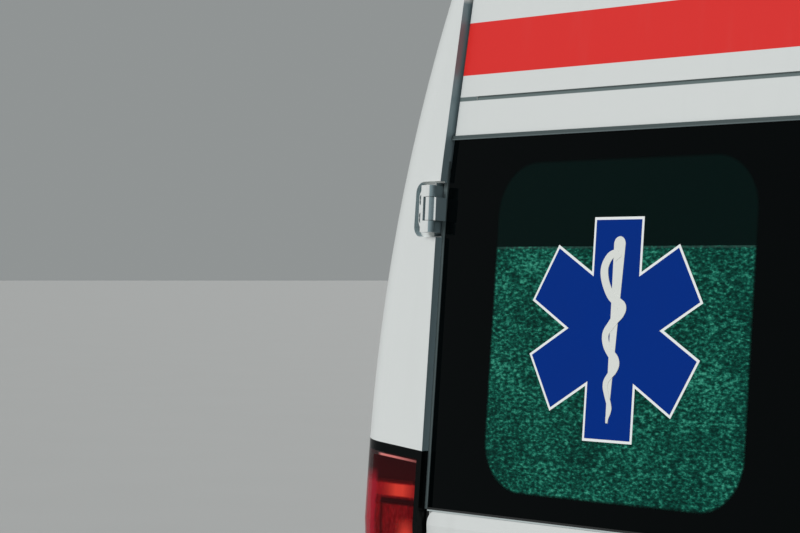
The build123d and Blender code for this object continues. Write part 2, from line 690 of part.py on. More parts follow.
bumper = nose_block(-BUMPER_PROUD, 0.0) & span((-FAR, FAR), (-FAR, FRONT_AXLE), (BUMPER_BOTTOM, BUMPER_TOP))
bumper_edges = bumper.edges().filter_by(
    lambda e: abs(e.center().Z - (BUMPER_BOTTOM + BUMPER_TOP) / 2) > 200 and e.center().Y < FRONT_AXLE - 1
)
bumper = fillet(bumper_edges, BUMPER_EDGE) - nose_block(WALL)
bumper -= arch("front")
intake_half, intake_low, intake_high = INTAKE
slot_pitch = (intake_high - intake_low) / INTAKE_SLOTS
for index in range(INTAKE_SLOTS):
    low = intake_low + index * slot_pitch
    bumper -= span((-intake_half, intake_half), (-FAR, FRONT + 300), (low, low + 0.7 * slot_pitch))
fog_radius, fog_x, fog_z, fog_depth = FOG_RECESS
bumper -= both(rod_y(fog_radius, fog_x, (FRONT - 1, FRONT + fog_depth), fog_z))
put("front_bumper", bumper)

# Remaining body, split where the panels meet
roof_zone = span((-FAR, FAR), (-FAR, FAR), (ROOF_SEAM, FAR))
cowl_front = BONNET_REAR + BONNET_CHANNEL
frame_zone = span((-FAR, FAR), (cowl_front, CAB_DOOR_REAR + CAB_DOOR_GAP), (FENDER_TOP, ROOF_SEAM))
cowl_half = BONNET_HALF + BONNET_GAP
cowl_zone = span((-cowl_half, cowl_half), (cowl_front, FRONT_AXLE + 100), (NOSE_TOP, FENDER_TOP))
roof = body & roof_zone
put("roof_shell", roof)
cab_frame = body & (frame_zone + cowl_zone)
firewall = inner & span((-FAR, FAR), FIREWALL_Y, (FLOOR_TOP, FAR))
firewall -= arch("front", WELL_WALL) & both(span((WELL_INNER[0], FAR), (-FAR, FAR), (0, FAR)))
posts = both(
    span((HALF_WIDTH - WALL - 90, HALF_WIDTH - WALL), (CAB_DOOR_FRONT - 60, CAB_DOOR_FRONT - 20), (700, FENDER_TOP + 40))
)
scuttle = span((-cowl_half, cowl_half), (BONNET_REAR + 6, cowl_front), (SCREEN_FOOT_Z - 150, SCREEN_FOOT_Z - 138))
scuttle += span((-cowl_half, cowl_half), (cowl_front, cowl_front + 12), (SCREEN_FOOT_Z - 150, SCREEN_FOOT_Z - 40))
scuttle += span((-cowl_half, cowl_half), (cowl_front, FIREWALL_Y[0]), (SCREEN_FOOT_Z - 68, SCREEN_FOOT_Z - 56))
cab_frame = cab_frame + firewall + (posts - arch("front", WELL_WALL)) + (scuttle & outer) + both(bonnet_pin)
put("cab_frame", cab_frame)
side_zone = span((-FAR, FAR), (CAB_DOOR_REAR + CAB_DOOR_GAP, FAR), (-FAR, ROOF_SEAM))
sill_zone = span((-FAR, FAR), (CAB_DOOR_FRONT, CAB_DOOR_REAR + CAB_DOOR_GAP), (0, CAB_DOOR_BOTTOM - CAB_DOOR_GAP))
sides = body & (side_zone + (sill_zone - arch("front", 37.0)))
strip_front = CAB_DOOR_REAR + CAB_DOOR_GAP + 16
strip_middle = REAR_AXLE - REAR_ARCH_RADIUS
tail_strip = rub_strip((REAR_AXLE + REAR_ARCH_RADIUS, REAR_BUMPER_FRONT - 20))
flap_y = (CAB_DOOR_REAR + 120, CAB_DOOR_REAR + 280)
flap_z = (850.0, 1010.0)
flap_heights = (flap_z[0], flap_z[0], flap_z[1], flap_z[1])
flap_face = outline_face(list(zip(flap_y + flap_y[::-1], flap_heights)), [20.0] * 4)
flap_groove = along_x(flap_face, (HALF_WIDTH - 3, HALF_WIDTH + 1)) - along_x(offset(flap_face, -3), (0, FAR))
put("body_side_left", (sides & left_half) + rub_strip((strip_front, strip_middle)) + tail_strip - flap_groove)
right_strips = rub_strip((strip_front, SLIDING_DOOR[0] - PANEL_GAP - 16)) + tail_strip
right_strips += rub_strip((SLIDING_DOOR[1] + PANEL_GAP + 16, strip_middle))
rail_low, rail_high, rail_depth = SLIDE_RAIL
rail_groove = span(
    (-HALF_WIDTH - 1, rail_depth - HALF_WIDTH), (SLIDING_DOOR[1] + PANEL_GAP + 12, REAR - 560), (rail_low, rail_high)
)
put("body_side_right", (sides & right_half) + mirror(right_strips, about=Plane.YZ) - rail_groove)

# Floor with its wheel housings
floor_back = WAIST_Y - DOOR_SETBACK - DOOR_WALL - DOOR_GAP - 40
half_floor = HALF_WIDTH - WALL
floor = span((-half_floor, half_floor), (FIREWALL_Y[0], floor_back), (FLOOR_BOTTOM, FLOOR_TOP))
for which, well in zip(("front", "rear"), WELL_INNER):
    y, radius = wheel_axles[which]
    housing = rod_x(radius + WELL_WALL, (well, half_floor), y, TYRE_RADIUS)
    cavity = rod_x(radius, (well + WELL_WALL, half_floor + 1), y, TYRE_RADIUS)
    above = span((0, FAR), (-FAR, FAR), (FLOOR_BOTTOM, FAR))
    floor = floor + both(housing & above) - both(cavity)
put("floor_pan", floor)

# Rear doors
slab = rear_slab(DOOR_SETBACK, DOOR_WALL, (0, FAR))
skin = rear_slab(DOOR_SETBACK, 12.0, (0, FAR))
inner_part = slab & span((DOOR_MEETING_GAP / 2 + 15, FAR), (0, FAR), (0, FAR))
door = (skin + inner_part) & through(door_outline(), (REAR - 500, REAR + 100))
glass_band = (REAR_GLASS_BOTTOM, REAR_GLASS_TOP)
recess = rear_slab(0, DOOR_SETBACK + GLASS + GLASS_CLEARANCE, (0, FAR)) & span((0, FAR), (0, FAR), glass_band)
x0, x1, z0, z1 = REAR_PANE
pane = outline_face([(x0, z0), (x1, z0), (x1, z1), (x0, z1)], [90.0] * 4)
corner_x = DOOR_HALF_WIDTH - PANEL_CORNER
corner_z = REAR_GLASS_BOTTOM - PANEL_CORNER
corner_cut = span((corner_x, FAR), (0, FAR), (corner_z, REAR_GLASS_BOTTOM))
corner_cut -= rod_y(PANEL_CORNER, corner_x, (0, FAR), corner_z)
recess += rear_slab(0, DOOR_SETBACK + GLASS, (0, FAR)) & corner_cut
groove_z, groove_width, groove_depth = PRESS_GROOVE
groove = rear_slab(0, DOOR_SETBACK + groove_depth, (40, DOOR_HALF_WIDTH - 60))
groove &= span((0, FAR), (0, FAR), (groove_z, groove_z + groove_width))
door = door - recess - groove - through(pane, (REAR - 500, REAR + 100))
glass_face = door_outline(-GLASS_CLEARANCE)
rear_glass = rear_slab(DOOR_SETBACK, GLASS, (0, FAR)) & through(glass_face, (REAR - 500, REAR + 100))
rear_glass &= span((0, FAR), (0, FAR), (glass_band[0] + GLASS_CLEARANCE, glass_band[1] - GLASS_CLEARANCE))

fixed_hinges = Part()
leaves = Part()
for height, leaf_depth, foot_reach in HINGES:
    frame = hinge_frame(height)
    half = HINGE_HEIGHT / 2
    plate = span((0, HINGE_BRACKET), (-60, 0), (-half, half))
    plate = fillet(plate.edges().filter_by(Axis.Y).filter_by(lambda e: e.center().X > 1), 22.0)
    front_edges = plate.faces().sort_by(Axis.Y)[-1].edges().filter_by(lambda e: e.center().X > 1)
    plate = fillet(front_edges, 7.0)
    for bolt_z in (26 - half, half - 26):
        for drop in (-4, 4):
            plate -= rod_y(6, HINGE_BRACKET - 11, (-7, 1), bolt_z + drop)
    plate = frame * plate
    ear = local_span(frame, (0, 20), (-HINGE_BARREL, HINGE_BARREL - 4), (-half, half))
    barrel = frame * Cylinder(HINGE_BARREL, HINGE_HEIGHT)
    slot = local_span(
        frame, (-40, HINGE_BARREL + 5), (-70, 60), (-HINGE_KNUCKLE - 1, HINGE_KNUCKLE + 1)
    )
    fixed_hinges += plate + ear + barrel - slot + frame * Cylinder(HINGE_PIN, HINGE_HEIGHT)
    leaf = local_span(frame, (-14, -8), (-leaf_depth, 0), (-HINGE_KNUCKLE, HINGE_KNUCKLE))
    leaf += local_span(frame, (-foot_reach, -8), (-leaf_depth, 24 - leaf_depth), (-HINGE_KNUCKLE, HINGE_KNUCKLE))
    leaf += frame * Cylinder(HINGE_BARREL, 2 * HINGE_KNUCKLE)
    leaves += leaf - frame * Cylinder(HINGE_PIN + PIN_CLEARANCE, 4 * HINGE_KNUCKLE)
fixed_hinges = fixed_hinges - body
put("rear_hinges", both(fixed_hinges))
x0, x1, z0, z1 = PLATE_RECESS
plate_face = outline_face([(x0 + 38, z0), (x1, z0), (x1 + 20, z1), (x0 - 23, z1)], [25.0] * 4)
plate_pocket = rear_slab(0, DOOR_SETBACK + PLATE_RECESS_DEPTH, (0, FAR)) & through(plate_face, (0, FAR))
door_left = door + leaves - plate_pocket
door_right = mirror(door + leaves, about=Plane.YZ)
put("rear_door_left", door_left)
put("rear_door_right", door_right)
put("rear_glass_left", rear_glass)
put("rear_glass_right", mirror(rear_glass, about=Plane.YZ))

plate_x, plate_z = PLATE_CENTRE
plate_span = (plate_x - PLATE_SIZE[0] / 2, plate_x + PLATE_SIZE[0] / 2)
plate = rear_slab(DOOR_SETBACK + PLATE_RECESS_DEPTH - 4, 4.0, plate_span)
plate &= span((0, FAR), (0, FAR), (plate_z - PLATE_SIZE[1] / 2, plate_z + PLATE_SIZE[1] / 2))
put("number_plate", plate)
bar_low = plate_z + PLATE_SIZE[1] / 2 + 18
lamp_bar = rear_slab(DOOR_SETBACK - 14, 24.0, (x0 + 12, x1 - 12)) & span((0, FAR), (0, FAR), (bar_low, bar_low + 42))
put("plate_lamp_bar", lamp_bar)

x0, x1, z0, z1 = HANDLE_BOX
handle_face = outline_face([(x0, z0), (x1, z0), (x1, z1), (x0, z1)], [22.0] * 4)
handle = rear_slab(DOOR_SETBACK - 12, 12.0, (-FAR, FAR)) & through(handle_face, (0, FAR))
handle -= rear_slab(DOOR_SETBACK - 13, 9.0, (x0 + 18, x1 - 18)) & span((-FAR, FAR), (0, FAR), (z0 + 20, z0 + 90))
put("rear_handle", handle)

brake = rear_slab(-6, 26.0, (-115, 115)) & span((-FAR, FAR), (0, FAR), (DOOR_TOP + 45, DOOR_TOP + 72))
put("high_brake_light", brake)
parts["roof_shell"] = roof - brake

# Mirrors on the cab doors
arm_y = CAB_DOOR_FRONT + 90
mirror_arm = between((HALF_WIDTH - 3, arm_y, 1330), (HALF_WIDTH + 100, arm_y, 1460), 14.0)
mirror_y = (CAB_DOOR_FRONT + 30, CAB_DOOR_FRONT + 134)
mirror_points = [
    (HALF_WIDTH + 55, 1400),
    (MIRROR_REACH - 20, 1408),
    (MIRROR_REACH, 1722),
    (HALF_WIDTH + 66, 1740),
]
mirror_face = outline_face(mirror_points, [45.0, 60.0, 50.0, 45.0])
housing = through(mirror_face, mirror_y)
housing = fillet(housing.faces().sort_by(Axis.Y)[0].edges(), 38.0)
housing -= through(offset(mirror_face, -12), (mirror_y[1] - 6, FAR))
side_mirror = mirror_arm + housing
side_mirror -= outer
put("mirror_left", side_mirror)
put("mirror_right", mirror(side_mirror, about=Plane.YZ))

# Cab: bulkhead, seats, dashboard, wheel
bulkhead = inner & span((-FAR, FAR), (CAB_DOOR_REAR + 40, CAB_DOOR_REAR + 70), (FLOOR_TOP, FAR))
bulkhead -= span((-BULKHEAD_WINDOW[0], BULKHEAD_WINDOW[0]), (-FAR, FAR), BULKHEAD_WINDOW[1:])
put("bulkhead", bulkhead)


def seat(x0, x1):
    """Plain seat between two widths: plinth, cushion, back, head rests."""
    places = max(1, round((x1 - x0) / 480))
    width = (x1 - x0) / places
    pivot_y = CAB_DOOR_REAR - 160
    cushion_low = FLOOR_TOP + 225
    tilt = Pos(0, pivot_y, cushion_low + 60) * Rot(-12, 0, 0)
    form = span((x0 + 40, x1 - 40), (pivot_y - 440, pivot_y - 40), (FLOOR_TOP, cushion_low))
    for place in range(places):
        left = x0 + place * width
        middle = left + width / 2
        cushion = span((left + 6, left + width - 6), (pivot_y - 540, pivot_y), (cushion_low, cushion_low + 140))
        back = tilt * span((left + 14, left + width - 14), (-80, 40), (0, 610))
        head = tilt * span((middle - 110, middle + 110), (-65, 25), (650, 830))
        stems = tilt * (rod_z(8, middle - 60, -20, (580, 680)) + rod_z(8, middle + 60, -20, (580, 680)))
        form = form + cushion + back + head + stems
    return form


put("cab_seats", seat(210, 720) + seat(-860, 100))

dash_points = [
    (FIREWALL_Y[1], 900),
    (CAB_DOOR_FRONT + 80, 900),
    (CAB_DOOR_FRONT + 120, 1160),
    (CAB_DOOR_FRONT + 40, 1270),
    (FIREWALL_Y[1], 1300),
]
dashboard = side_prism(dash_points, (-880, 880), [4.0, 40.0, 60.0, 60.0, 4.0]) & inner
put("dashboard", dashboard)

wheel_frame = Plane(origin=(465, CAB_DOOR_FRONT + 300, 1130), x_dir=(1, 0, 0), z_dir=(0, 0.64, 0.77))
ring_wheel = wheel_frame * Torus(190, 15)
hub = wheel_frame * Pos(0, 0, -20) * Cylinder(62, 46)
spokes = wheel_frame * Pos(0, 0, -8) * Box(380, 34, 14) + wheel_frame * Pos(0, -95, -8) * Box(40, 190, 14)
column = wheel_frame * Pos(0, 0, -170) * Cylinder(34, 300)
put("steering_wheel", ring_wheel + hub + spokes + column - parts["dashboard"])

# Engine and running gear
put("engine_block", span((-330, 330), (FRONT + 235, FIREWALL_Y[0] - 20), (ENGINE_BOTTOM, 940)))
subframe = both(
    span((330, RAIL_X[1]), (FRONT_AXLE - 150, FRONT_AXLE + 150), (ARM_Z[0], 250))
    + span((RAIL_X[0], RAIL_X[1]), (FRONT_AXLE - 60, FRONT_AXLE + 60), (250, RAIL_Z[0]))
    + span((330, 735), (FRONT_AXLE - 40, FRONT_AXLE + 40), ARM_Z)
) + span((-340, 340), (FRONT_AXLE - 50, FRONT_AXLE + 50), (ARM_Z[0], 250))
kingpin_x = FRONT_TRACK / 2 - KINGPIN_INSET
joint_seat = both(rod_z(24, kingpin_x, FRONT_AXLE, (ARM_Z[0], ARM_Z[1])))
subframe = subframe + joint_seat
put("front_subframe", subframe)
rail_front = FRONT + RAIL_FRONT_GAP
rail_rear = REAR - RAIL_REAR_GAP
rail = both(span(RAIL_X, (rail_front, rail_rear), RAIL_Z))
for y in (rail_front + 30, CAB_DOOR_REAR - 220, CAB_DOOR_REAR + 780, REAR_AXLE - 541):
    rail += span((-RAIL_X[0], RAIL_X[0]), (y - 30, y + 30), (RAIL_Z[0] + 10, RAIL_Z[1]))
rail += span((-RAIL_X[0], RAIL_X[0]), (FRONT_AXLE - 480, FRONT_AXLE - 400), (RAIL_Z[0], ENGINE_BOTTOM))
put("chassis_rails", rail)
blocks = []
for y in SOCKET_Y:
    block = span(
        (socket_x - SOCKET_BLOCK, socket_x + SOCKET_BLOCK),
        (y - SOCKET_BLOCK, y + SOCKET_BLOCK),
        (RAIL_Z[0] - SOCKET_DEPTH, RAIL_Z[0]),
    )
    block = fillet(block.edges().filter_by(Axis.Z), SOCKET_BLOCK_CORNER)
    block -= rod_z(SOCKET_THREAD, socket_x, y, (RAIL_Z[0] - SOCKET_DEPTH - 1, RAIL_Z[0] + 1))
    blocks.append(both(block))
put("socket_blocks", blocks[0] + blocks[1])

knuckle = rod_z(30, kingpin_x, FRONT_AXLE, (ARM_Z[1] + 0.3, 750))
knuckle += span((kingpin_x - 20, 800), (FRONT_AXLE - 55, FRONT_AXLE + 55), (240, 440))
knuckle += rod_x(60, (790, 822), FRONT_AXLE, TYRE_RADIUS)
knuckle += rod_x(SPINDLE, (800, FRONT_TRACK / 2 + 40), FRONT_AXLE, TYRE_RADIUS)
put("knuckle_left", knuckle)
put("knuckle_right", mirror(knuckle, about=Plane.YZ))

beam = rod_x(45, (-780, 780), REAR_AXLE, TYRE_RADIUS)
beam += both(rod_x(60, (775, 812), REAR_AXLE, TYRE_RADIUS))
beam += both(rod_x(SPINDLE, (780, REAR_TRACK / 2 + 40), REAR_AXLE, TYRE_RADIUS))
leaf_top = TYRE_RADIUS + 45 + 26
spring_line = ThreePointArc(
    (REAR_AXLE - 640, RAIL_Z[0] - 14), (REAR_AXLE, leaf_top - 26), (REAR_AXLE + 640, RAIL_Z[0] - 14)
)
spring_face = make_face(
    spring_line
    + Polyline(spring_line @ 1, spring_line @ 1 + (0, 14))
    + ThreePointArc(
        (REAR_AXLE + 640, RAIL_Z[0]), (REAR_AXLE, leaf_top - 2), (REAR_AXLE - 640, RAIL_Z[0])
    )
    + Polyline(spring_line @ 0 + (0, 14), spring_line @ 0)
)
spring_mid = sum(RAIL_X) / 2
spring = Pos(spring_mid - 35, 0, 0) * extrude(Plane.YZ * spring_face, 70)
beam += both(spring + span((spring_mid - 45, spring_mid + 45), (REAR_AXLE - 60, REAR_AXLE + 60), (340, leaf_top)))
put("rear_axle", beam)

tank = span((-430, 430), (CAB_DOOR_REAR - 80, CAB_DOOR_REAR + 640), (RAIL_Z[0] - 180, RAIL_Z[0]))
tank = fillet(tank.edges().filter_by(Axis.X), 50.0)
for y in (CAB_DOOR_REAR + 80, CAB_DOOR_REAR + 480):
    tank += span((-380, 380), (y - 25, y + 25), (RAIL_Z[0] - 1, FLOOR_BOTTOM))
put("fuel_tank", tank)
pipe_z = 330.0
pipe_radius = 32.0
pipe_points = [
    (150, FRONT_AXLE - 100, pipe_z + 20),
    (150, FRONT_AXLE + 758, pipe_z),
    (-620, FRONT_AXLE + 1008, pipe_z),
    (-620, REAR_AXLE - 842, pipe_z),
    (-940, REAR_AXLE - 612, pipe_z),
]
pipe_line = FilletPolyline(*pipe_points, radius=150)
pipe = sweep(Plane(origin=pipe_line @ 0, z_dir=pipe_line % 0) * Circle(pipe_radius), path=pipe_line)
pipe += rod_y(95, -620, (CAB_DOOR_REAR + 230, CAB_DOOR_REAR + 930), pipe_z)
for y in (CAB_DOOR_REAR + 130, CAB_DOOR_REAR + 1030):
    pipe += span((-640, -600), (y - 10, y + 10), (pipe_z + 20, FLOOR_BOTTOM))
put("exhaust", pipe)

spare_y = REAR - 481.5
spare = rod_z(TYRE_RADIUS, 0, spare_y, (255, 430))
spare = fillet(spare.edges(), 45.0) - rod_z(RIM_RADIUS - 25, 0, spare_y, (250, 300))
spare -= rod_z(RIM_RADIUS - 25, 0, spare_y, (360, 440))
spare += rod_z(30, 0, spare_y, (295, FLOOR_BOTTOM))
put("spare_wheel", spare)

# Road wheels
tyre_half = TYRE_WIDTH / 2
shoulder = 45.0
tyre_profile = make_face(
    Polyline((-RIM_WIDTH / 2, RIM_RADIUS + 0.3), (RIM_WIDTH / 2, RIM_RADIUS + 0.3))
    + ThreePointArc(
        (RIM_WIDTH / 2, RIM_RADIUS + 0.3), (tyre_half, 262), (tyre_half - 22, TYRE_RADIUS - 14)
    )
    + ThreePointArc(
        (tyre_half - 22, TYRE_RADIUS - 14), (tyre_half - 29, TYRE_RADIUS - 5), (tyre_half - shoulder, TYRE_RADIUS)
    )
    + Polyline((tyre_half - shoulder, TYRE_RADIUS), (shoulder - tyre_half, TYRE_RADIUS))
    + ThreePointArc(
        (shoulder - tyre_half, TYRE_RADIUS), (29 - tyre_half, TYRE_RADIUS - 5), (22 - tyre_half, TYRE_RADIUS - 14)
    )
    + ThreePointArc((22 - tyre_half, TYRE_RADIUS - 14), (-tyre_half, 262), (-RIM_WIDTH / 2, RIM_RADIUS + 0.3))
)
tyre = revolve(tyre_profile, Axis.X)
rim_half = RIM_WIDTH / 2
rim_points = [
    (-rim_half, RIM_RADIUS),
    (-rim_half, RIM_RADIUS - 16),
    (20, RIM_RADIUS - 22),
    (30, 150),
    (34, 110),
    (14, 84),
    (-24, 70),
    (-24, SPINDLE + RUNNING_CLEARANCE),
    (36, SPINDLE + RUNNING_CLEARANCE),
    (36, 62),
    (28, 76),
    (48, 104),
    (44, 156),
    (rim_half - 14, RIM_RADIUS - 12),
    (rim_half, RIM_RADIUS - 12),
    (rim_half, RIM_RADIUS),
]
rim = revolve(make_face(Polyline(*rim_points, close=True)), Axis.X)
slots = 12
for index in range(slots):
    rim -= Rot(index * 360 / slots, 0, 0) * Pos(30, 0, 132) * Rot(0, 90, 0) * Cylinder(13, 60)
corners = {
    "front_left": (FRONT_TRACK / 2, FRONT_AXLE, 1),
    "front_right": (FRONT_TRACK / 2, FRONT_AXLE, -1),
    "rear_left": (REAR_TRACK / 2, REAR_AXLE, 1),
    "rear_right": (REAR_TRACK / 2, REAR_AXLE, -1),
}
for corner, (x, y, side) in corners.items():
    for kind, solid in (("tyre", tyre), ("rim", rim)):
        placed = Pos(x, y, TYRE_RADIUS) * solid
        put(f"{kind}_{corner}", placed if side > 0 else mirror(placed, about=Plane.YZ))

# Load space
cot_x = (30.0, 590.0)
cot_y = (CAB_DOOR_REAR + 630, REAR - 586.5)
cot = span(cot_x, cot_y, (860, 900))
cot += span((cot_x[0] + 40, cot_x[1] - 40), (cot_y[0] + 60, cot_y[1] - 60), (FLOOR_TOP, 575))
for x in (cot_x[0] + 60, cot_x[1] - 60):
    cot += between((x, cot_y[0] + 300, 570), (x, cot_y[1] - 300, 865), 16)
    cot += between((x, cot_y[1] - 300, 570), (x, cot_y[0] + 300, 865), 16)
put("stretcher_frame", cot)
mattress = fillet(span((cot_x[0] + 20, cot_x[1] - 20), (cot_y[0] + 20, cot_y[1] - 20), (900.3, 980)).edges(), 25)
put("stretcher_mattress", mattress)
cabinet_y = (CAB_DOOR_REAR + 100, REAR_AXLE - 511)
cabinet_z = (FLOOR_TOP + 825, ROOF_SEAM - 260, ROOF_SEAM - 50)
cabinet = span((700, 880), cabinet_y, (FLOOR_TOP, cabinet_z[0])) + span((640, 800), cabinet_y, cabinet_z[1:])
cabinet += span((760, 800), (cabinet_y[1] - 60, cabinet_y[1]), cabinet_z[:2])
put("equipment_cabinet", cabinet)

# Roof: light bar in front, beacon at the rear
bar_y = (ROOF_PEAK_Y + 26.5, ROOF_PEAK_Y + 286.5)
bar_z = (ROOF_HEIGHT + 23, ROOF_HEIGHT + 128)
bar_base = span((-600, 600), bar_y, (bar_z[0], bar_z[0] + 35))
for x in (-450, 450):
    bar_base += span((x - 60, x + 60), (bar_y[0] + 60, bar_y[1] - 60), (ROOF_HEIGHT - 122, bar_z[0]))
put("light_bar_base", bar_base - outer)
bar_lens = span((-600, 600), bar_y, (bar_z[0] + 35, bar_z[1]))
bar_lens = fillet(bar_lens.edges().filter_by(Axis.Z), 60.0)
bar_lens = fillet(bar_lens.faces().sort_by(Axis.Z)[-1].edges(), 25.0)
put("light_bar_lens", bar_lens)

beacon_x, beacon_y = -260.0, REAR - 376.5
dome_low = ROOF_HEIGHT + 3
beacon_foot = Pos(beacon_x, beacon_y, dome_low - 60) * Cone(95, 70, 120) - outer
put("beacon_base", beacon_foot)
dome = rod_z(65, beacon_x, beacon_y, (dome_low, dome_low + 70))
dome += Pos(beacon_x, beacon_y, dome_low + 70) * Sphere(65)
dome &= span((-FAR, FAR), (-FAR, FAR), (dome_low, FAR))
put("beacon_dome", dome)

os.makedirs("parts", exist_ok=True)
for name, solid in parts.items():
    export_step(solid, f"parts/{name}.step")
print(len(parts), "nodes")
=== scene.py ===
"""Looks of a high-roof ambulance van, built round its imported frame."""

import logging
import math
from dataclasses import dataclass
from enum import Enum
from functools import partial, reduce
from typing import Callable, Optional, Sequence

import bmesh
import bpy
from mathutils import Matrix, Vector


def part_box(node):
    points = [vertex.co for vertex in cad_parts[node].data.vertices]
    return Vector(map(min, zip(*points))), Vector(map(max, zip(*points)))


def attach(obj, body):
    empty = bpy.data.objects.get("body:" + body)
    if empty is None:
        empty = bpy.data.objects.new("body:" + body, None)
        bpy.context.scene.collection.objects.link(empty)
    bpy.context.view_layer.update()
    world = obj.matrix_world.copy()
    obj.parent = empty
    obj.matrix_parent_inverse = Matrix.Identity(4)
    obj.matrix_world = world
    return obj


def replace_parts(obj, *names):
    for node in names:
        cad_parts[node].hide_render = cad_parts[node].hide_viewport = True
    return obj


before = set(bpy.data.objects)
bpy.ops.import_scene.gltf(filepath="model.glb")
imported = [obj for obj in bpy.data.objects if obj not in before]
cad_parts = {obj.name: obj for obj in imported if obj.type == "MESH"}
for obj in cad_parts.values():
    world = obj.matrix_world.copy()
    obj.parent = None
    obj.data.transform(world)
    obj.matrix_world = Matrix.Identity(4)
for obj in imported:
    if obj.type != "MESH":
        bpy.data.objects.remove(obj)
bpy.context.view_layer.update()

log = logging.getLogger("ambulance")

Colour = tuple[float, float, float]
Point = tuple[float, float, float]
Flat = tuple[float, float]
Socket = bpy.types.NodeSocket
Material = bpy.types.Material
Mesh = bpy.types.Mesh
Piece = bpy.types.Object

EVEN: Point = (1.0, 1.0, 1.0)
VAN = "van_body"

# Sizes of the shell, in metres, as in the frame
LENGTH = 5.413
REAR = LENGTH / 2
FRONT = -REAR
WAIST_Y = REAR - 0.061
WAIST_Z = 1.3
REAR_LEAN = math.radians(5.0)
REAR_TUCK = 0.025
DOOR_BOTTOM = 0.59
DOOR_SETBACK = 0.017
HALF_WIDTH = 1.025
SIDE_ARC_START = 1.4
SIDE_ARC_RADIUS = 2.5
FRONT_AXLE = FRONT + 0.948
REAR_AXLE = FRONT_AXLE + 3.45
TYRE_RADIUS = 0.341
NOSE_FLAT = 0.040
NOSE_RADIUS = 2.3
NOSE_CORNER = 0.42
SCREEN_BACK = 0.56
SCREEN_RADIUS = 2.3
SCREEN_FOOT = 1.33
SCREEN_ANGLE = math.radians(46.0)


def rear_y(z: float, inset: float = 0.0) -> float:
    """Y of the rear face at a height, moved forward by an inset."""
    lean = math.tan(REAR_LEAN) if z > WAIST_Z else -REAR_TUCK / (WAIST_Z - DOOR_BOTTOM)
    return WAIST_Y - inset - (z - WAIST_Z) * lean


def side_x(z: float) -> float:
    """Half width of the body at a height."""
    rise = max(0.0, z - SIDE_ARC_START)
    return HALF_WIDTH - SIDE_ARC_RADIUS + math.sqrt(SIDE_ARC_RADIUS**2 - rise**2)


class Side(Enum):
    """Side of the van that a piece sits on."""

    LEFT = 1
    RIGHT = -1

    def __str__(self) -> str:
        """The side as it stands in node and body names."""
        return self.name.lower()


Outline = Sequence[Flat]
Surface = Callable[[float, float, float], Vector]

# Ways that an upright piece can look
BACKWARD = 1
FORWARD = -1


def placing(origin: Point, across: Point, up: Point, out: Point) -> Matrix:
    """Matrix from a piece's own axes to the van's.

    Args:
        origin: Where the piece's origin goes.
        across: Its first axis.
        up: Its second axis.
        out: Its third axis, away from what carries it.

    Returns:
        The matrix.
    """
    columns = (across, up, out, origin)
    rows = [[column[row] for column in columns] for row in range(3)]
    return Matrix((*rows, (0.0, 0.0, 0.0, 1.0)))


def upright(origin: Point, way: int, up: Flat = (0.0, 1.0)) -> Matrix:
    """Place that looks BACKWARD or FORWARD, with the Y and Z of its second axis."""
    y, z = up
    return placing(origin, (-way, 0.0, 0.0), (0.0, y, z), (0.0, way * z, -way * y))


def sideways(origin: Point, side: Side) -> Matrix:
    """Place that looks straight to one side."""
    sign = side.value
    return placing(origin, (0.0, sign, 0.0), (0.0, 0.0, 1.0), (sign, 0.0, 0.0))


def flat(place: Matrix) -> Surface:
    """Flat surface through a place."""
    return lambda u, v, out: place @ Vector((u, v, out))


def rear_place(x: float, z: float, inset: float = DOOR_SETBACK) -> Matrix:
    """Place on the rear face, seen from behind, at a distance in front of it."""
    slope = -REAR_LEAN if z > WAIST_Z else math.atan(REAR_TUCK / (WAIST_Z - DOOR_BOTTOM))
    return upright((x, rear_y(z, inset), z), BACKWARD, (math.sin(slope), math.cos(slope)))


def side_place(side: Side, y: float, z: float) -> Matrix:
    """Place on one side, seen from outside.

    Args:
        side: Side of the van.
        y: Place along the van.
        z: Height.

    Returns:
        The place.
    """
    sign = side.value
    lean = math.asin(max(0.0, z - SIDE_ARC_START) / SIDE_ARC_RADIUS)
    sin, cos = math.sin(lean), math.cos(lean)
    up, out = (-sign * sin, 0.0, cos), (sign * cos, 0.0, sin)
    return placing((sign * side_x(z), y, z), (0.0, sign, 0.0), up, out)


def side_point(side: Side) -> Surface:
    """Surface of one side: Y, Z and the distance out of it."""
    return lambda y, z, out: side_place(side, y, z) @ Vector((0.0, 0.0, out))


def nose_y(x: float, back: float = 0.0) -> float:
    """Y of the nose.

    Args:
        x: Place across the van.
        back: How far behind the bumper's face it lies.

    Returns:
        The place along the van.
    """
    bow = NOSE_RADIUS - math.sqrt(NOSE_RADIUS**2 - x * x) - NOSE_FLAT
    over = abs(x) - (HALF_WIDTH - NOSE_CORNER)
    corner = NOSE_CORNER - math.sqrt(max(0.0, NOSE_CORNER**2 - over * over)) if over > 0 else 0.0
    return FRONT + back + max(0.0, bow, corner)


def nose_place(x: float, z: float, back: float = 0.0) -> Matrix:
    """Place on the nose, seen from the front.

    Args:
        x: Place across the van.
        z: Height.
        back: How far behind the bumper's face it lies.

    Returns:
        The place.
    """
    step = 0.002
    slope = math.atan((nose_y(x + step, back) - nose_y(x - step, back)) / (2 * step))
    sin, cos = math.sin(slope), math.cos(slope)
    return placing((x, nose_y(x, back), z), (cos, sin, 0.0), (0.0, 0.0, 1.0), (sin, -cos, 0.0))


def screen_point(x: float, z: float, out: float) -> Vector:
    """Point on the windscreen.

    Args:
        x: Place across the van.
        z: Height.
        out: Distance out of the glass.

    Returns:
        The point.
    """
    bow = SCREEN_RADIUS - math.sqrt(SCREEN_RADIUS**2 - x * x)
    y = FRONT + SCREEN_BACK + bow + (z - SCREEN_FOOT) / math.tan(SCREEN_ANGLE)
    return Vector((x, y - out * math.sin(SCREEN_ANGLE), z + out * math.cos(SCREEN_ANGLE)))


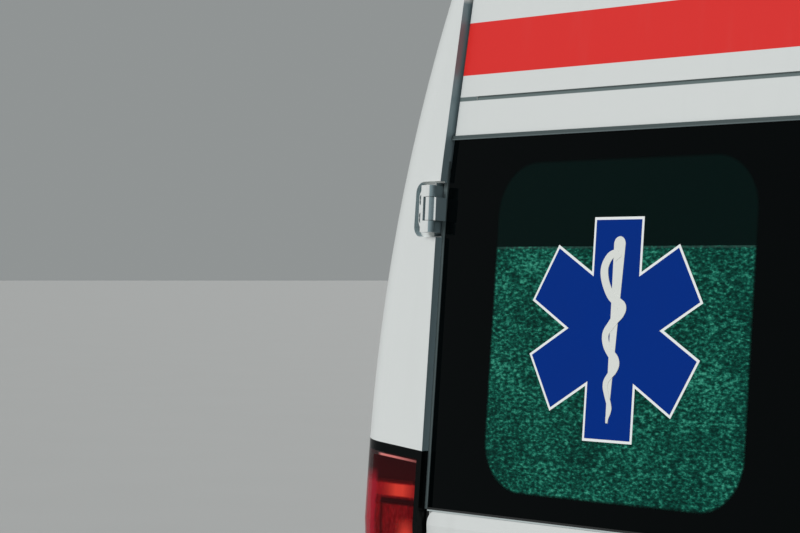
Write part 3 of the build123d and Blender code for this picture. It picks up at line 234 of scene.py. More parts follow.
def spread(low: float, high: float, steps: int) -> list[float]:
    """Values from one to another at even steps."""
    return [low + (high - low) * k / steps for k in range(steps + 1)]


def arc(centre: Flat, radius: float, start: float, end: float, steps: int = 6) -> list[Flat]:
    """Points of an arc between two angles in degrees."""
    angles = [math.radians(angle) for angle in spread(start, end, steps)]
    return [(centre[0] + radius * math.cos(a), centre[1] + radius * math.sin(a)) for a in angles]


def hexagon(radius: float) -> list[Flat]:
    """Outline of a nut or a bolt's head."""
    return arc((0.0, 0.0), radius, 0, 300, 5)


def rounded(low: Flat, high: Flat, radius: float, steps: int = 5) -> list[Flat]:
    """Rectangle with round corners.

    Args:
        low: Its lowest corner.
        high: Its highest corner.
        radius: Radius of each corner.
        steps: Pieces of each round.

    Returns:
        The outline.
    """
    corners = ((high[0], high[1], 0), (low[0], high[1], 90), (low[0], low[1], 180), (high[0], low[1], 270))
    points = []
    for x, y, turn in corners:
        centre = (x - radius if x == high[0] else x + radius, y - radius if y == high[1] else y + radius)
        points += arc(centre, radius, turn, turn + 90, steps)
    return points


def softened(points: Outline, radii: Sequence[float], steps: int = 5) -> list[Flat]:
    """Outline of straight lines with each corner rounded.

    Args:
        points: Corners, in order.
        radii: Radius of each.
        steps: Pieces of each round.

    Returns:
        The outline.
    """
    made = []
    count = len(points)
    for k, radius in enumerate(radii):
        here = Vector(points[k])
        back = (Vector(points[k - 1]) - here).normalized()
        ahead = (Vector(points[(k + 1) % count]) - here).normalized()
        run = radius / math.tan(back.angle(ahead) / 2)
        start, end = here + back * run, here + ahead * run
        for t in spread(0.0, 1.0, steps):
            point = start.lerp(here, t).lerp(here.lerp(end, t), t)
            made.append((point.x, point.y))
    return made


def inset(outline: Outline, amount: float) -> list[Flat]:
    """Outline moved inwards, each corner along the middle of its angle.

    Args:
        outline: Closed outline.
        amount: How far its sides move.

    Returns:
        The smaller outline.
    """
    points = [Vector(p) for p in outline]
    area = sum(a.x * b.y - b.x * a.y for a, b in zip(points, points[1:] + points[:1]))
    turn = math.copysign(1.0, area)
    moved = []
    for before, here, after in zip(points[-1:] + points[:-1], points, points[1:] + points[:1]):
        one, two = (here - before).normalized(), (after - here).normalized()
        first, second = Vector((-one.y, one.x)), Vector((-two.y, two.x))
        middle = (first + second).normalized() if (first + second).length > 1e-6 else first
        reach = turn * amount / max(0.35, middle.dot(first))
        moved.append((here.x + middle.x * reach, here.y + middle.y * reach))
    return moved


def divided(outline: Outline, step: float) -> list[Flat]:
    """Closed outline with points added along its straight runs.

    Args:
        outline: Closed outline.
        step: The longest run that stays whole.

    Returns:
        The outline with more points.
    """
    made = []
    for here, ahead in zip(outline, list(outline[1:]) + [outline[0]]):
        parts = max(1, math.ceil(math.dist(here, ahead) / step))
        made += [tuple(a + (b - a) * k / parts for a, b in zip(here, ahead)) for k in range(parts)]
    return made


class Shape:
    """Mesh in the making, out of closed skins."""

    def __init__(self) -> None:
        """Starts with nothing."""
        self.mesh = bmesh.new()

    def skin(self, rings: Sequence[Sequence[Vector]], closed: bool = False) -> "Shape":
        """Joins rings of points by faces.

        Args:
            rings: Rings with the same count of points.
            closed: Joins the last ring to the first, where otherwise both ends get a cap.

        Returns:
            The shape.
        """
        made = [[self.mesh.verts.new(point) for point in ring] for ring in rings]
        following = made[1:] + made[:1] if closed else made[1:]
        for one, two in zip(made, following):
            for k in range(len(one)):
                self.mesh.faces.new((one[k - 1], one[k], two[k], two[k - 1]))
        if not closed:
            self.mesh.faces.new(made[0][::-1])
            self.mesh.faces.new(made[-1])
        return self

    def prism(self, outline: Outline, low: float, high: float, at: Matrix, soft: float = 0.0) -> "Shape":
        """Carries an outline from one depth to another.

        Args:
            outline: Points in the first two axes.
            low: First depth, along the third axis.
            high: Second depth.
            at: Where it goes.
            soft: Radius of the edges.

        Returns:
            The shape.
        """
        layers = [(0.0, low), (0.0, high)]
        if soft:
            part = soft * (1 - math.sqrt(0.5))
            layers = [(soft, low), (part, low + part), (0.0, low + soft)]
            layers += [(0.0, high - soft), (part, high - part), (soft, high)]
        rings = []
        for amount, depth in layers:
            ring = inset(outline, amount) if amount else outline
            rings.append([at @ Vector((x, y, depth)) for x, y in ring])
        return self.skin(rings)

    def lathe(self, profile: Outline, at: Matrix, steps: int = 40, closed: bool = False) -> "Shape":
        """Turns a profile round the third axis.

        Args:
            profile: Radius and height of each point.
            at: Where it goes.
            steps: Pieces of each circle.
            closed: The profile is a loop, and the form a ring.

        Returns:
            The shape.
        """
        turns = [2 * math.pi * k / steps for k in range(steps)]
        rings = [[at @ Vector((r * math.cos(a), r * math.sin(a), h)) for a in turns] for r, h in profile]
        return self.skin(rings, closed)

    def carried(self, section: Outline, places: Sequence[Matrix]) -> "Shape":
        """Carries a section, in the first and the third axis, through places."""
        return self.skin([[at @ Vector((across, 0.0, out)) for across, out in section] for at in places])

    def tube(self, points: Sequence[Point], radius: float, steps: int = 8, closed: bool = False) -> "Shape":
        """Round bar along points.

        Args:
            points: Points of its middle line.
            radius: Its radius.
            steps: Pieces round it.
            closed: Joins its end to its start.

        Returns:
            The shape.
        """
        path = [Vector(p) for p in points]
        before = path[-1:] + path[:-1] if closed else path[:1] + path[:-1]
        after = path[1:] + path[:1] if closed else path[1:] + path[-1:]
        across = Vector((0.0, 0.0, 1.0))
        if abs((path[1] - path[0]).normalized().z) > 0.9:
            across = Vector((1.0, 0.0, 0.0))
        turns = [2 * math.pi * k / steps for k in range(steps)]
        rings = []
        for back, here, ahead in zip(before, path, after):
            along = (ahead - back).normalized()
            across = (across - along * across.dot(along)).normalized()
            other = along.cross(across)
            rings.append([here + (across * math.cos(a) + other * math.sin(a)) * radius for a in turns])
        return self.skin(rings, closed)

    def moulding(self, outline: Outline, width: float, low: float, high: float, surface: Surface) -> "Shape":
        """Lays a rounded strip inside a closed outline on a surface.

        Args:
            outline: Outer edge of the strip, in the surface's own two values.
            width: Width of the strip.
            low: Where it starts out of the surface.
            high: Where it ends.
            surface: The surface.

        Returns:
            The shape.
        """
        section = ((0.0, low), (0.0, high * 0.6), (0.25, high), (0.75, high), (1.0, high * 0.6), (1.0, low))
        lines = [inset(outline, width * share) if share else list(outline) for share, _ in section]
        rings = []
        for k in range(len(outline)):
            rings.append([surface(*line[k], out) for line, (_, out) in zip(lines, section)])
        return self.skin(rings, closed=True)

    def ribbon(self, rows: Sequence[tuple[Vector, Vector]], thick: Vector) -> "Shape":
        """Thin sheet between two lines, thickened one way."""
        return self.skin([[one, two, two + thick, one + thick] for one, two in rows])

    def piece(self, name: str, material: Material, crease: float = 38.0) -> Piece:
        """Makes an object of it.

        Args:
            name: Name of the object.
            material: Its finish.
            crease: Angle in degrees from which an edge stays sharp.

        Returns:
            The object.
        """
        bmesh.ops.recalc_face_normals(self.mesh, faces=self.mesh.faces[:])
        for face in self.mesh.faces:
            face.smooth = True
        for edge in self.mesh.edges:
            edge.smooth = edge.calc_face_angle(0.0) < math.radians(crease)
        mesh = bpy.data.meshes.new(name)
        self.mesh.to_mesh(mesh)
        self.mesh.free()
        mesh.materials.append(material)
        made = bpy.data.objects.new(name, mesh)
        bpy.context.scene.collection.objects.link(made)
        return made


class Shader:
    """Lays out the nodes of one material."""

    def __init__(self, name: str, **sockets: object) -> None:
        """Starts a material.

        Args:
            name: Name of the material.
            sockets: Values of the surface shader, with _ for each space.
        """
        self.material = bpy.data.materials.new(name)
        self.material.use_nodes = True
        self.nodes = self.material.node_tree.nodes
        self.links = self.material.node_tree.links
        self.surface = self.nodes["Principled BSDF"]
        self.coordinates = self.nodes.new("ShaderNodeTexCoord").outputs
        self.x, self.y, self.z = self.split("Object")
        self.facing = self.split("Normal")
        for words, value in sockets.items():
            self.set(words.replace("_", " "), value)

    def split(self, space: str) -> Sequence[Socket]:
        """Parts of a coordinate: across the van, along it and up.

        Args:
            space: Name of the coordinate.

        Returns:
            The three parts.
        """
        node = self.nodes.new("ShaderNodeSeparateXYZ")
        self.links.new(self.coordinates[space], node.inputs[0])
        return node.outputs[:]

    def plug(self, socket: Socket, value: object) -> None:
        """Links a socket, or gives it a value.

        Args:
            socket: Input to fill.
            value: Another node's output, a number or a colour.
        """
        if isinstance(value, Socket):
            self.links.new(value, socket)
        elif isinstance(value, tuple) and len(value) == 3 and socket.type == "RGBA":
            socket.default_value = (*value, 1.0)
        else:
            socket.default_value = value

    def set(self, name: str, value: object) -> None:
        """Fills an input of the surface shader."""
        self.plug(self.surface.inputs[name], value)

    def math(self, operation: str, a: object, b: object = 0.0, clamp: bool = False) -> Socket:
        """Adds one arithmetic node.

        Args:
            operation: Blender's name for it.
            a: First value.
            b: Second value.
            clamp: Keeps the result from 0 to 1.

        Returns:
            The result.
        """
        node = self.nodes.new("ShaderNodeMath")
        node.operation = operation
        node.use_clamp = clamp
        self.plug(node.inputs[0], a)
        self.plug(node.inputs[1], b)
        return node.outputs[0]

    def times(self, *values: object) -> Socket:
        """Product of several masks."""
        return reduce(partial(self.math, "MULTIPLY"), values)

    def any(self, *masks: object) -> Socket:
        """Mask that is on where one of several is."""
        return reduce(partial(self.math, "MAXIMUM"), masks)

    def band(self, value: object, low: float, high: float, soft: float = 0.0006) -> Socket:
        """Mask that is on between two values.

        Args:
            value: What is compared.
            low: Start of the band.
            high: End of the band.
            soft: Width of its edges.

        Returns:
            The mask, from 0 to 1.
        """
        up = self.math("MULTIPLY", self.math("SUBTRACT", value, low), 1 / soft, clamp=True)
        down = self.math("MULTIPLY", self.math("SUBTRACT", high, value), 1 / soft, clamp=True)
        return self.times(up, down)

    def spot(self, value: object, centre: float, far: float, near: float) -> Socket:
        """Mask that is full up to a near distance from a centre, and off from a far one."""
        return self.span(self.math("ABSOLUTE", self.math("SUBTRACT", value, centre)), far, near)

    def pattern(self, kind: str, scale: float, stretch: Point) -> bpy.types.Node:
        """Adds a texture in object space.

        Args:
            kind: Blender's name for it.
            scale: Cells per metre.
            stretch: Scale of each axis before that.

        Returns:
            The texture's node.
        """
        mapping = self.nodes.new("ShaderNodeMapping")
        mapping.inputs["Scale"].default_value = stretch
        self.links.new(self.coordinates["Object"], mapping.inputs[0])
        node = self.nodes.new(kind)
        self.links.new(mapping.outputs[0], node.inputs["Vector"])
        node.inputs["Scale"].default_value = scale
        return node

    def noise(self, scale: float, detail: float = 3.0, stretch: Point = EVEN, rough: float = 0.5) -> Socket:
        """Noise in object space.

        Args:
            scale: Cells per metre.
            detail: Octaves.
            stretch: Scale of each axis before the noise.
            rough: How much the finer octaves count.

        Returns:
            The noise, from 0 to 1.
        """
        node = self.pattern("ShaderNodeTexNoise", scale, stretch)
        node.inputs["Detail"].default_value = detail
        node.inputs["Roughness"].default_value = rough
        return node.outputs[0]

    def cells(self, scale: float, stretch: Point = EVEN) -> Socket:
        """Distance to the nearest of scattered points."""
        return self.pattern("ShaderNodeTexVoronoi", scale, stretch).outputs["Distance"]

    def ramp(self, value: object, stops: Sequence[tuple[float, Colour]], steps: bool = False) -> Socket:
        """Colours along a value.

        Args:
            value: Where to read.
            stops: Places and colours.
            steps: Hard changes between them.

        Returns:
            The colour.
        """
        node = self.nodes.new("ShaderNodeValToRGB")
        node.color_ramp.interpolation = "CONSTANT" if steps else "LINEAR"
        while len(node.color_ramp.elements) < len(stops):
            node.color_ramp.elements.new(0.5)
        for element, (place, colour) in zip(node.color_ramp.elements, stops):
            element.position = place
            element.color = (*colour, 1.0)
        self.plug(node.inputs[0], value)
        return node.outputs[0]

    def span(
        self, value: object, low: float, high: float, out_low: float = 0.0, out_high: float = 1.0
    ) -> Socket:
        """Maps a range of a value to another, and keeps it inside.

        Args:
            value: What is mapped.
            low: Start of its range.
            high: End of its range.
            out_low: What the start becomes.
            out_high: What the end becomes.

        Returns:
            The result.
        """
        node = self.nodes.new("ShaderNodeMapRange")
        self.plug(node.inputs["Value"], value)
        ends = {"From Min": low, "From Max": high, "To Min": out_low, "To Max": out_high}
        for words, number in ends.items():
            node.inputs[words].default_value = number
        return node.outputs["Result"]

    def mix(self, mask: object, off: object, on: object) -> Socket:
        """Mixes two colours by a mask.

        Args:
            mask: From 0 to 1.
            off: Colour where the mask is 0.
            on: Colour where it is 1.

        Returns:
            The colour.
        """
        node = self.nodes.new("ShaderNodeMix")
        node.data_type = "RGBA"
        self.plug(node.inputs["Factor"], mask)
        self.plug(node.inputs[6], off)
        self.plug(node.inputs[7], on)
        return node.outputs[2]

    def mix_value(self, mask: object, off: float, on: float) -> Socket:
        """Value between two by a mask."""
        return self.math("ADD", self.math("MULTIPLY", mask, on - off), off)

    def bump(self, height: object, distance: float, strength: float = 1.0) -> None:
        """Gives the surface a relief.

        Args:
            height: Relief, from 0 to 1.
            distance: What 1 stands for, in metres.
            strength: Share of it that shows.
        """
        node = self.nodes.new("ShaderNodeBump")
        node.inputs["Distance"].default_value = distance
        node.inputs["Strength"].default_value = strength
        self.plug(node.inputs["Height"], height)
        self.set("Normal", node.outputs[0])

    def inward(self) -> Socket:
        """Mask of what faces the middle of the van across it."""
        return self.math("LESS_THAN", self.times(self.facing[0], self.x), -0.4)

    def outward(self) -> Socket:
        """Mask of what faces away from the middle of the van across it."""
        return self.math("GREATER_THAN", self.times(self.facing[0], self.x), 0.02)


WHITE: Colour = (0.74, 0.765, 0.755)
RED: Colour = (0.82, 0.026, 0.022)
BLUE: Colour = (0.0, 0.020, 0.17)


class Stripes(Enum):
    """Where the coloured bands run."""

    NONE = "none"
    REAR = "rear"
    SIDE = "side"


@dataclass(frozen=True)
class BodyPaint:
    """White gloss paint with its coloured bands, a little road dust, painted shade on shut faces and hinge
    leaves, and a painted shade line over a groove on the rear doors.
    """

    name: str
    stripes: Stripes
    upper_red: Flat = (2.096, 2.190)
    lower_red: Flat = (1.213, 1.255)
    blue: Flat = (1.075, 1.170)
    door_x: Flat = (0.012, 0.823)
    badge_x: Flat = (0.532, 0.687)
    badge_slope: float = 0.28
    side_y: Flat = (-2.02, 2.50)
    coat: float = 0.12
    roughness: float = 0.34
    dust: Colour = (0.30, 0.28, 0.25)
    streak: Colour = (0.38, 0.38, 0.36)
    # Painted shade for the inward shut faces of the pillars and the inward faces of the hinge leaves
    shade: Colour = (0.25, 0.34, 0.37)
    shut_x: Flat = (0.80, 0.90)
    shut_y: Flat = (WAIST_Y - 0.20, REAR)
    leaf_x: float = 0.8275
    # Painted shade over the groove high on the rear doors: its colour and heights
    seam: Colour = (0.13, 0.17, 0.17)
    seam_z: Flat = (2.0500, 2.0585)
    strip: Colour = (0.017, 0.018, 0.019)
    strip_roughness: float = 0.55

    def build(self) -> Material:
        """Makes the material.

        Returns:
            The paint.
        """
        s = Shader(self.name, Roughness=self.roughness, Specular_IOR_Level=0.35)
        s.set("Coat Weight", self.coat)
        s.set("Coat Roughness", 0.05)
        cloud = s.noise(1.6, 4.0)
        colour = s.mix(cloud, WHITE, tuple(c * 0.965 for c in WHITE))
        bands = self.bands(s)
        if bands is not None:
            worn = s.noise(900.0, 2.0)
            for mask, band in zip(bands, (RED, BLUE)):
                colour = s.mix(mask, colour, s.mix(worn, band, tuple(c * 0.9 for c in band)))
        dust = s.times(s.span(s.z, 0.95, 0.42), s.span(s.noise(7.0, 6.0), 0.42, 0.72))
        runs = s.span(s.noise(26.0, 3.0, (1.0, 1.0, 0.08)), 0.55, 0.78)
        streaks = s.times(runs, s.span(s.z, 0.6, 1.6, 0.16, 0.03))
        colour = s.mix(s.times(dust, 0.35), colour, self.dust)
        colour = s.mix(streaks, colour, self.streak)
        if self.stripes is Stripes.REAR:
            # Painted shade line over the groove high on the rear doors
            seam = s.times(s.band(s.z, *self.seam_z, 0.001), self.behind(s))
            colour = s.mix(seam, colour, self.seam)
            # Painted shade on the inward faces of the hinge leaves, past the door's edge
            leaf = s.times(s.inward(), s.math("GREATER_THAN", s.math("ABSOLUTE", s.x), self.leaf_x))
            colour = s.mix(leaf, colour, self.shade)
        else:
            # Painted shade on the inward shut faces of the pillars
            shut = s.times(
                s.inward(), s.band(s.y, *self.shut_y), s.band(s.math("ABSOLUTE", s.x), *self.shut_x)
            )
            colour = s.mix(shut, colour, self.shade)
        if self.stripes is Stripes.SIDE:
            proud = s.math("GREATER_THAN", s.math("ABSOLUTE", s.x), HALF_WIDTH + 0.0008)
            colour = s.mix(proud, colour, self.strip)
            s.set("Coat Weight", s.mix_value(proud, self.coat, 0.0))
            s.set("Roughness", s.mix_value(proud, self.roughness, self.strip_roughness))
        s.set("Base Color", colour)
        s.bump(s.noise(420.0, 2.0), 0.00012, 0.25)
        return s.material

    def behind(self, s: Shader) -> Socket:
        """Mask of what faces the rear."""
        return s.math("GREATER_THAN", s.facing[1], 0.3)

    def bands(self, s: Shader) -> Optional[tuple[Socket, Socket]]:
        """Masks of the red and the blue bands.

        Args:
            s: Material that they go on.

        Returns:
            Red and blue, or nothing if this paint is plain.
        """
        if self.stripes is Stripes.NONE:
            return None
        heights = [s.band(s.z, *band) for band in (self.upper_red, self.lower_red, self.blue)]
        if self.stripes is Stripes.REAR:
            along = s.band(s.math("ABSOLUTE", s.x), *self.door_x)
            seen = self.behind(s)
            slope = s.times(s.math("SUBTRACT", self.lower_red[1], s.z), self.badge_slope)
            badge = s.math("SUBTRACT", 1.0, s.band(s.math("ADD", s.x, slope), *self.badge_x))
        else:
            along = s.band(s.y, *self.side_y)
            seen = s.outward()
            badge = 1.0
        upper, lower, blue = (s.times(height, along, seen) for height in heights)
        return s.any(upper, s.times(lower, badge)), s.times(blue, badge)


@dataclass(frozen=True)
class Plain:
    """Paint, plastic, rubber, metal or board with a fine grain of its own."""

    name: str
    colour: Colour
    roughness: float
    metallic: float = 0.0
    grain: float = 1200.0
    relief: float = 0.00015
    strength: float = 0.4
    shade: float = 0.85
    patch: float = 9.0
    coat: float = 0.0
    dust: float = 0.0
    specular: float = 0.5
    dust_colour: Colour = (0.14, 0.135, 0.125)

    def build(self) -> Material:
        """Makes the material.

        Returns:
            The finish.
        """
        s = Shader(self.name, Metallic=self.metallic, Coat_Weight=self.coat, Coat_Roughness=0.06)
        s.set("Specular IOR Level", self.specular)
        patch = s.noise(self.patch, 5.0)
        colour = s.mix(patch, self.colour, tuple(c * self.shade for c in self.colour))
        if self.dust:
            low = s.times(s.span(s.z, 0.9, 0.1), s.span(s.noise(38.0, 8.0, rough=0.65), 0.35, 0.8))
            colour = s.mix(s.math("MULTIPLY", low, self.dust * 0.5), colour, self.dust_colour)
        s.set("Base Color", colour)
        s.set("Roughness", s.span(patch, 0.3, 0.7, self.roughness * 0.9, min(1.0, self.roughness * 1.12)))
        s.bump(s.noise(self.grain, 3.0), self.relief, self.strength)
        return s.material


@dataclass(frozen=True)
class Pane:
    """Window glass that lets light through."""

    name: str
    tint: Colour
    clear: float

    def build(self) -> Material:
        """Makes the material.

        Returns:
            The glass.
        """
        s = Shader(self.name, Roughness=0.02, IOR=1.5)
        s.set("Base Color", self.tint)
        smear = s.noise(5.0, 4.0)
        s.set("Alpha", s.span(smear, 0.3, 0.75, self.clear, min(1.0, self.clear * 1.08)))
        return s.material


@dataclass(frozen=True)
class RearPane:
    """Rear window: a black printed border, a flecked green film and a clear strip above it."""

    name: str
    pane_x: Flat = (0.124, 0.696)
    pane_z: Flat = (1.372, 1.936)
    film_top: float = 1.7916
    corner: float = 0.09
    weave: float = 0.004
    weave_colour: Colour = (0.03, 0.07, 0.06)
    glass: Colour = (0.0010, 0.0075, 0.0066)
    border: Colour = (0.0006, 0.0014, 0.0016)
    greens: tuple[tuple[float, Colour], ...] = (
        (0.0, (0.001, 0.022, 0.017)),
        (0.38, (0.003, 0.060, 0.042)),
        (0.62, (0.010, 0.145, 0.098)),
        (1.0, (0.060, 0.36, 0.245)),
    )

    def build(self) -> Material:
        """Makes the material.

        Returns:
            The glass.
        """
        s = Shader(self.name, Roughness=0.04, IOR=1.45, Specular_IOR_Level=0.10)
        half = ((self.pane_x[1] - self.pane_x[0]) / 2, (self.pane_z[1] - self.pane_z[0]) / 2)
        across = s.math("ABSOLUTE", s.math("SUBTRACT", s.math("ABSOLUTE", s.x), sum(self.pane_x) / 2))
        up = s.math("ABSOLUTE", s.math("SUBTRACT", s.z, sum(self.pane_z) / 2))
        over_x = s.math("MAXIMUM", s.math("SUBTRACT", across, half[0] - self.corner), 0.0)
        over_z = s.math("MAXIMUM", s.math("SUBTRACT", up, half[1] - self.corner), 0.0)
        far = s.math("SQRT", s.math("ADD", s.times(over_x, over_x), s.times(over_z, over_z)))
        clear = s.span(far, self.corner - 0.004, self.corner + 0.002, 1.0, 0.0)
        film = s.times(s.band(s.z, 0.0, self.film_top), clear)
        grain = s.noise(150.0, 4.0, (0.75, 1.0, 1.45), 0.6)
        slow = s.math("MULTIPLY", s.math("SUBTRACT", s.noise(9.0, 2.0), 0.5), 0.25)
        flecks = s.span(s.math("ADD", grain, slow), 0.36, 0.72)
        green = s.ramp(flecks, self.greens)
        weave = s.times(s.band(s.z, self.film_top - self.weave, self.film_top), s.cells(420.0))
        green = s.mix(weave, green, self.weave_colour)
        glass = s.mix(film, self.glass, green)
        s.set("Base Color", s.mix(clear, self.border, glass))
        s.set("Alpha", s.any(s.math("SUBTRACT", 1.0, clear), s.mix_value(film, 0.90, 0.985)))
        s.bump(s.noise(3.0, 1.0), 0.0004, 0.12)
        return s.material


@dataclass(frozen=True)
class TailLens:
    """Tail lamp: red above and below a clear middle, inside a black border, with a painted highlight, painted
    glints, a painted sheen and painted shade.
    """

    name: str
    low: float = 0.850
    top: Flat = (1.430, 1.446)
    inner_x: float = 0.835
    clear: Flat = (1.010, 1.195)
    red: Colour = (0.30, 0.006, 0.010)
    deep: Colour = (0.12, 0.002, 0.004)
    # Colour of painted shade between the reflector steps
    dark: Colour = (0.022, 0.002, 0.003)
    # Painted glint colour on the reflector boxes and the round reflector
    lit: Colour = (0.86, 0.060, 0.038)
    clear_colour: Colour = (0.52, 0.55, 0.55)
    # Painted highlight colour along the lens's top
    line_colour: Colour = (0.86, 0.26, 0.24)
    border: Colour = (0.003, 0.004, 0.004)
    box_z: Flat = (1.3455, 1.370)

    def build(self) -> Material:
        """Makes the material.

        Returns:
            The lens.
        """
        s = Shader(self.name, Roughness=0.08, IOR=1.3, Specular_IOR_Level=0.2)
        across = s.math("ABSOLUTE", s.x)
        rise = (self.top[1] - self.top[0]) / (HALF_WIDTH - self.inner_x)
        top = s.math("ADD", s.math("MULTIPLY", s.math("SUBTRACT", across, self.inner_x), rise), self.top[0])
        below = s.math("SUBTRACT", top, s.z)
        rim = s.any(
            s.band(below, -0.05, 0.016),
            s.band(s.z, 0.0, self.low + 0.010),
            s.band(across, 0.0, self.inner_x + 0.013),
        )
        clear = s.band(s.z, *self.clear)
        flutes = s.cells(240.0, (1.0, 1.0, 0.35))
        red = s.mix(s.span(flutes, 0.0, 0.7), self.red, self.deep)
        red = s.mix(s.band(s.z, 1.369, 1.5, 0.004), red, (0.028, 0.003, 0.004))
        # Painted shade in the steps between the reflector boxes
        shelf = s.times(s.band(s.z, 1.330, 1.3445, 0.003), s.band(across, 0.0, 0.938, 0.004))
        jamb = s.times(s.band(s.z, 1.205, 1.345, 0.003), s.band(across, 0.926, 0.938, 0.005))
        red = s.mix(s.any(shelf, jamb), red, self.dark)
        # Painted glints on the reflector boxes and the round reflector, with a painted sheen round the boxes
        bright = s.times(s.band(s.z, *self.box_z, 0.003), s.spot(across, 0.888, 0.050, 0.010))
        spot_glint = s.times(s.spot(across, 0.866, 0.030, 0.004), s.spot(s.z, 1.278, 0.034, 0.004))
        red = s.mix(s.any(bright, spot_glint), red, self.lit)
        box_sheen = s.times(s.band(s.z, *self.box_z, 0.003), s.band(across, 0.0, 0.995, 0.01))
        red = s.mix(s.times(box_sheen, s.math("SUBTRACT", 1.0, bright), 0.6), red, (0.42, 0.012, 0.018))
        # Painted sheen on the lens's rounded outer side
        edge = s.times(s.span(across, 0.945, 0.955), s.band(s.z, 0.0, 1.395, 0.03))
        red = s.mix(edge, red, (0.40, 0.012, 0.028))
        colour = s.mix(clear, red, self.clear_colour)
        # Painted highlight along the lens's top edge, fading inwards
        highlight_fade = s.times(s.band(across, 0.836, 0.951, 0.010), s.span(across, 0.846, 0.905, 0.30, 1.0))
        line = s.times(s.band(below, 0.0175, 0.0225, 0.001), highlight_fade)
        colour = s.mix(line, colour, self.line_colour)
        s.set("Base Color", s.mix(rim, colour, self.border))
        s.set("Alpha", s.any(rim, s.mix_value(clear, 0.78, 0.38)))
        s.bump(flutes, 0.0004, 0.25)
        return s.material


@dataclass(frozen=True)
class Lens:
    """Coloured lamp lens in clear plastic."""

    name: str
    colour: Colour
    alpha: float = 0.55
    glow: float = 0.0

    def build(self) -> Material:
        """Makes the material.

        Returns:
            The lens.
        """
        s = Shader(self.name, Roughness=0.06, IOR=1.49, Coat_Weight=0.5, Coat_Roughness=0.03)
        s.set("Base Color", s.mix(s.noise(30.0, 2.0), self.colour, tuple(c * 0.8 for c in self.colour)))
        s.set("Alpha", self.alpha)
        if self.glow:
            s.set("Emission Color", self.colour)
            s.set("Emission Strength", self.glow)
        return s.material


@dataclass
class Finishes:
    """Every material of the van, by name."""

    made: dict[str, Material]

    @classmethod
    def build(cls) -> "Finishes":
        """Makes them all.

        Returns:
            The finishes.
        """
        kinds = [
            BodyPaint("paint_plain", Stripes.NONE),
            BodyPaint("paint_rear", Stripes.REAR),
            BodyPaint("paint_side", Stripes.SIDE),
            Plain("trim_black", (0.016, 0.017, 0.018), 0.55, dust=0.5),
            Plain("gloss_black", (0.006, 0.006, 0.007), 0.12, coat=0.5, relief=0.00004),
            Plain("seal_rubber", (0.008, 0.010, 0.010), 0.62, relief=0.0001),
            # Grey for a painted highlight along the rear panes' tops and painted shade down their outer sides
            Plain("seal_grey", (0.10, 0.135, 0.14), 0.5, relief=0.0001),
            # Slate for a strip of painted shade above the rear panes
            Plain("seal_slate", (0.055, 0.080, 0.082), 0.5, relief=0.0001),
            # Pale grey for a painted highlight below the rear panes
            Plain("bright_line", (0.50, 0.56, 0.56), 0.35, relief=0.00005, shade=0.9),
            Plain("radiator_fins", (0.10, 0.10, 0.105), 0.5, 0.8, grain=2500.0, relief=0.0006, shade=0.7),
            Plain("strap_web", (0.025, 0.026, 0.03), 0.85, grain=1600.0, relief=0.0005, strength=0.8),
            Plain("tyre_rubber", (0.018, 0.018, 0.019), 0.78, grain=600.0, relief=0.0004, dust=0.6),
            Plain("rim_silver", (0.50, 0.51, 0.52), 0.36, metallic=0.7, relief=0.00005, dust=0.35),
            Plain("bright_steel", (0.55, 0.55, 0.56), 0.25, metallic=1.0, relief=0.00004),
            Plain("dull_steel", (0.30, 0.29, 0.28), 0.55, metallic=0.9, relief=0.0002, shade=0.6),
            Plain("chassis_black", (0.022, 0.022, 0.024), 0.6, grain=300.0, relief=0.0003, dust=0.8),
            Plain("cast_metal", (0.12, 0.12, 0.12), 0.6, metallic=0.8, grain=500.0, relief=0.0005, shade=0.6),
            Plain("board_grey", (0.52, 0.54, 0.54), 0.5, relief=0.0001, shade=0.94),
            Plain("dash_plastic", (0.045, 0.046, 0.05), 0.6, grain=1500.0, relief=0.0002, strength=0.6),
            Plain("floor_cover", (0.16, 0.17, 0.18), 0.55, grain=700.0, relief=0.0002, shade=0.8),
            Plain("white_plastic", (0.70, 0.71, 0.71), 0.35, relief=0.0001, coat=0.2),
            Plain("plate_white", (0.78, 0.79, 0.78), 0.32, relief=0.00006, coat=0.3),
            Plain("sticker_blue", (0.0, 0.029, 0.25), 0.42, relief=0.00003, shade=0.9, specular=0.06),
            Plain("sticker_white", (0.90, 0.92, 0.92), 0.42, relief=0.00003, shade=0.97, specular=0.2),
            Plain("sticker_cream", (0.78, 0.80, 0.76), 0.45, relief=0.00003, shade=0.93, specular=0.2),
            Plain("seat_cloth", (0.05, 0.055, 0.065), 0.9, 0.0, 900.0, 0.0008, strength=0.7, shade=0.7),
            Plain("mattress_vinyl", (0.012, 0.035, 0.12), 0.5, grain=500.0, relief=0.0003),
            Plain("tube_metal", (0.62, 0.63, 0.64), 0.3, metallic=0.95, relief=0.00005),
            Plain("mirror_glass", (0.85, 0.87, 0.88), 0.02, 1.0, relief=0.0, strength=0.0, shade=0.98),
            Plain("lamp_chrome", (0.82, 0.82, 0.83), 0.08, metallic=1.0, relief=0.0, strength=0.0),
            Plain("lamp_red_deep", (0.22, 0.004, 0.006), 0.3, relief=0.0001),
            Plain("lamp_red_bright", (0.75, 0.03, 0.025), 0.25, relief=0.0001, metallic=0.3),
            Plain("lamp_amber", (0.70, 0.16, 0.01), 0.2, coat=0.5),
            Pane("glass_clear", (0.02, 0.045, 0.04), 0.30),
            Pane("glass_dark", (0.002, 0.008, 0.008), 0.86),
            RearPane("glass_rear"),
            TailLens("lens_tail"),
            Lens("lens_red", (0.35, 0.004, 0.008), 0.72),
            Lens("lens_clear", (0.42, 0.44, 0.45), 0.13),
            Lens("lens_blue", (0.006, 0.03, 0.50), 0.80, glow=0.08),
        ]
        return cls({kind.name: kind.build() for kind in kinds})

    def dress(self, material: str, *nodes: str) -> None:
        """Gives nodes of the frame a finish.

        Args:
            material: Name of the finish.
            nodes: Names of the nodes.
        """
        for name in nodes:
            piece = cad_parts[name]
            for place in piece.material_slots:
                place.material = self.made[material]


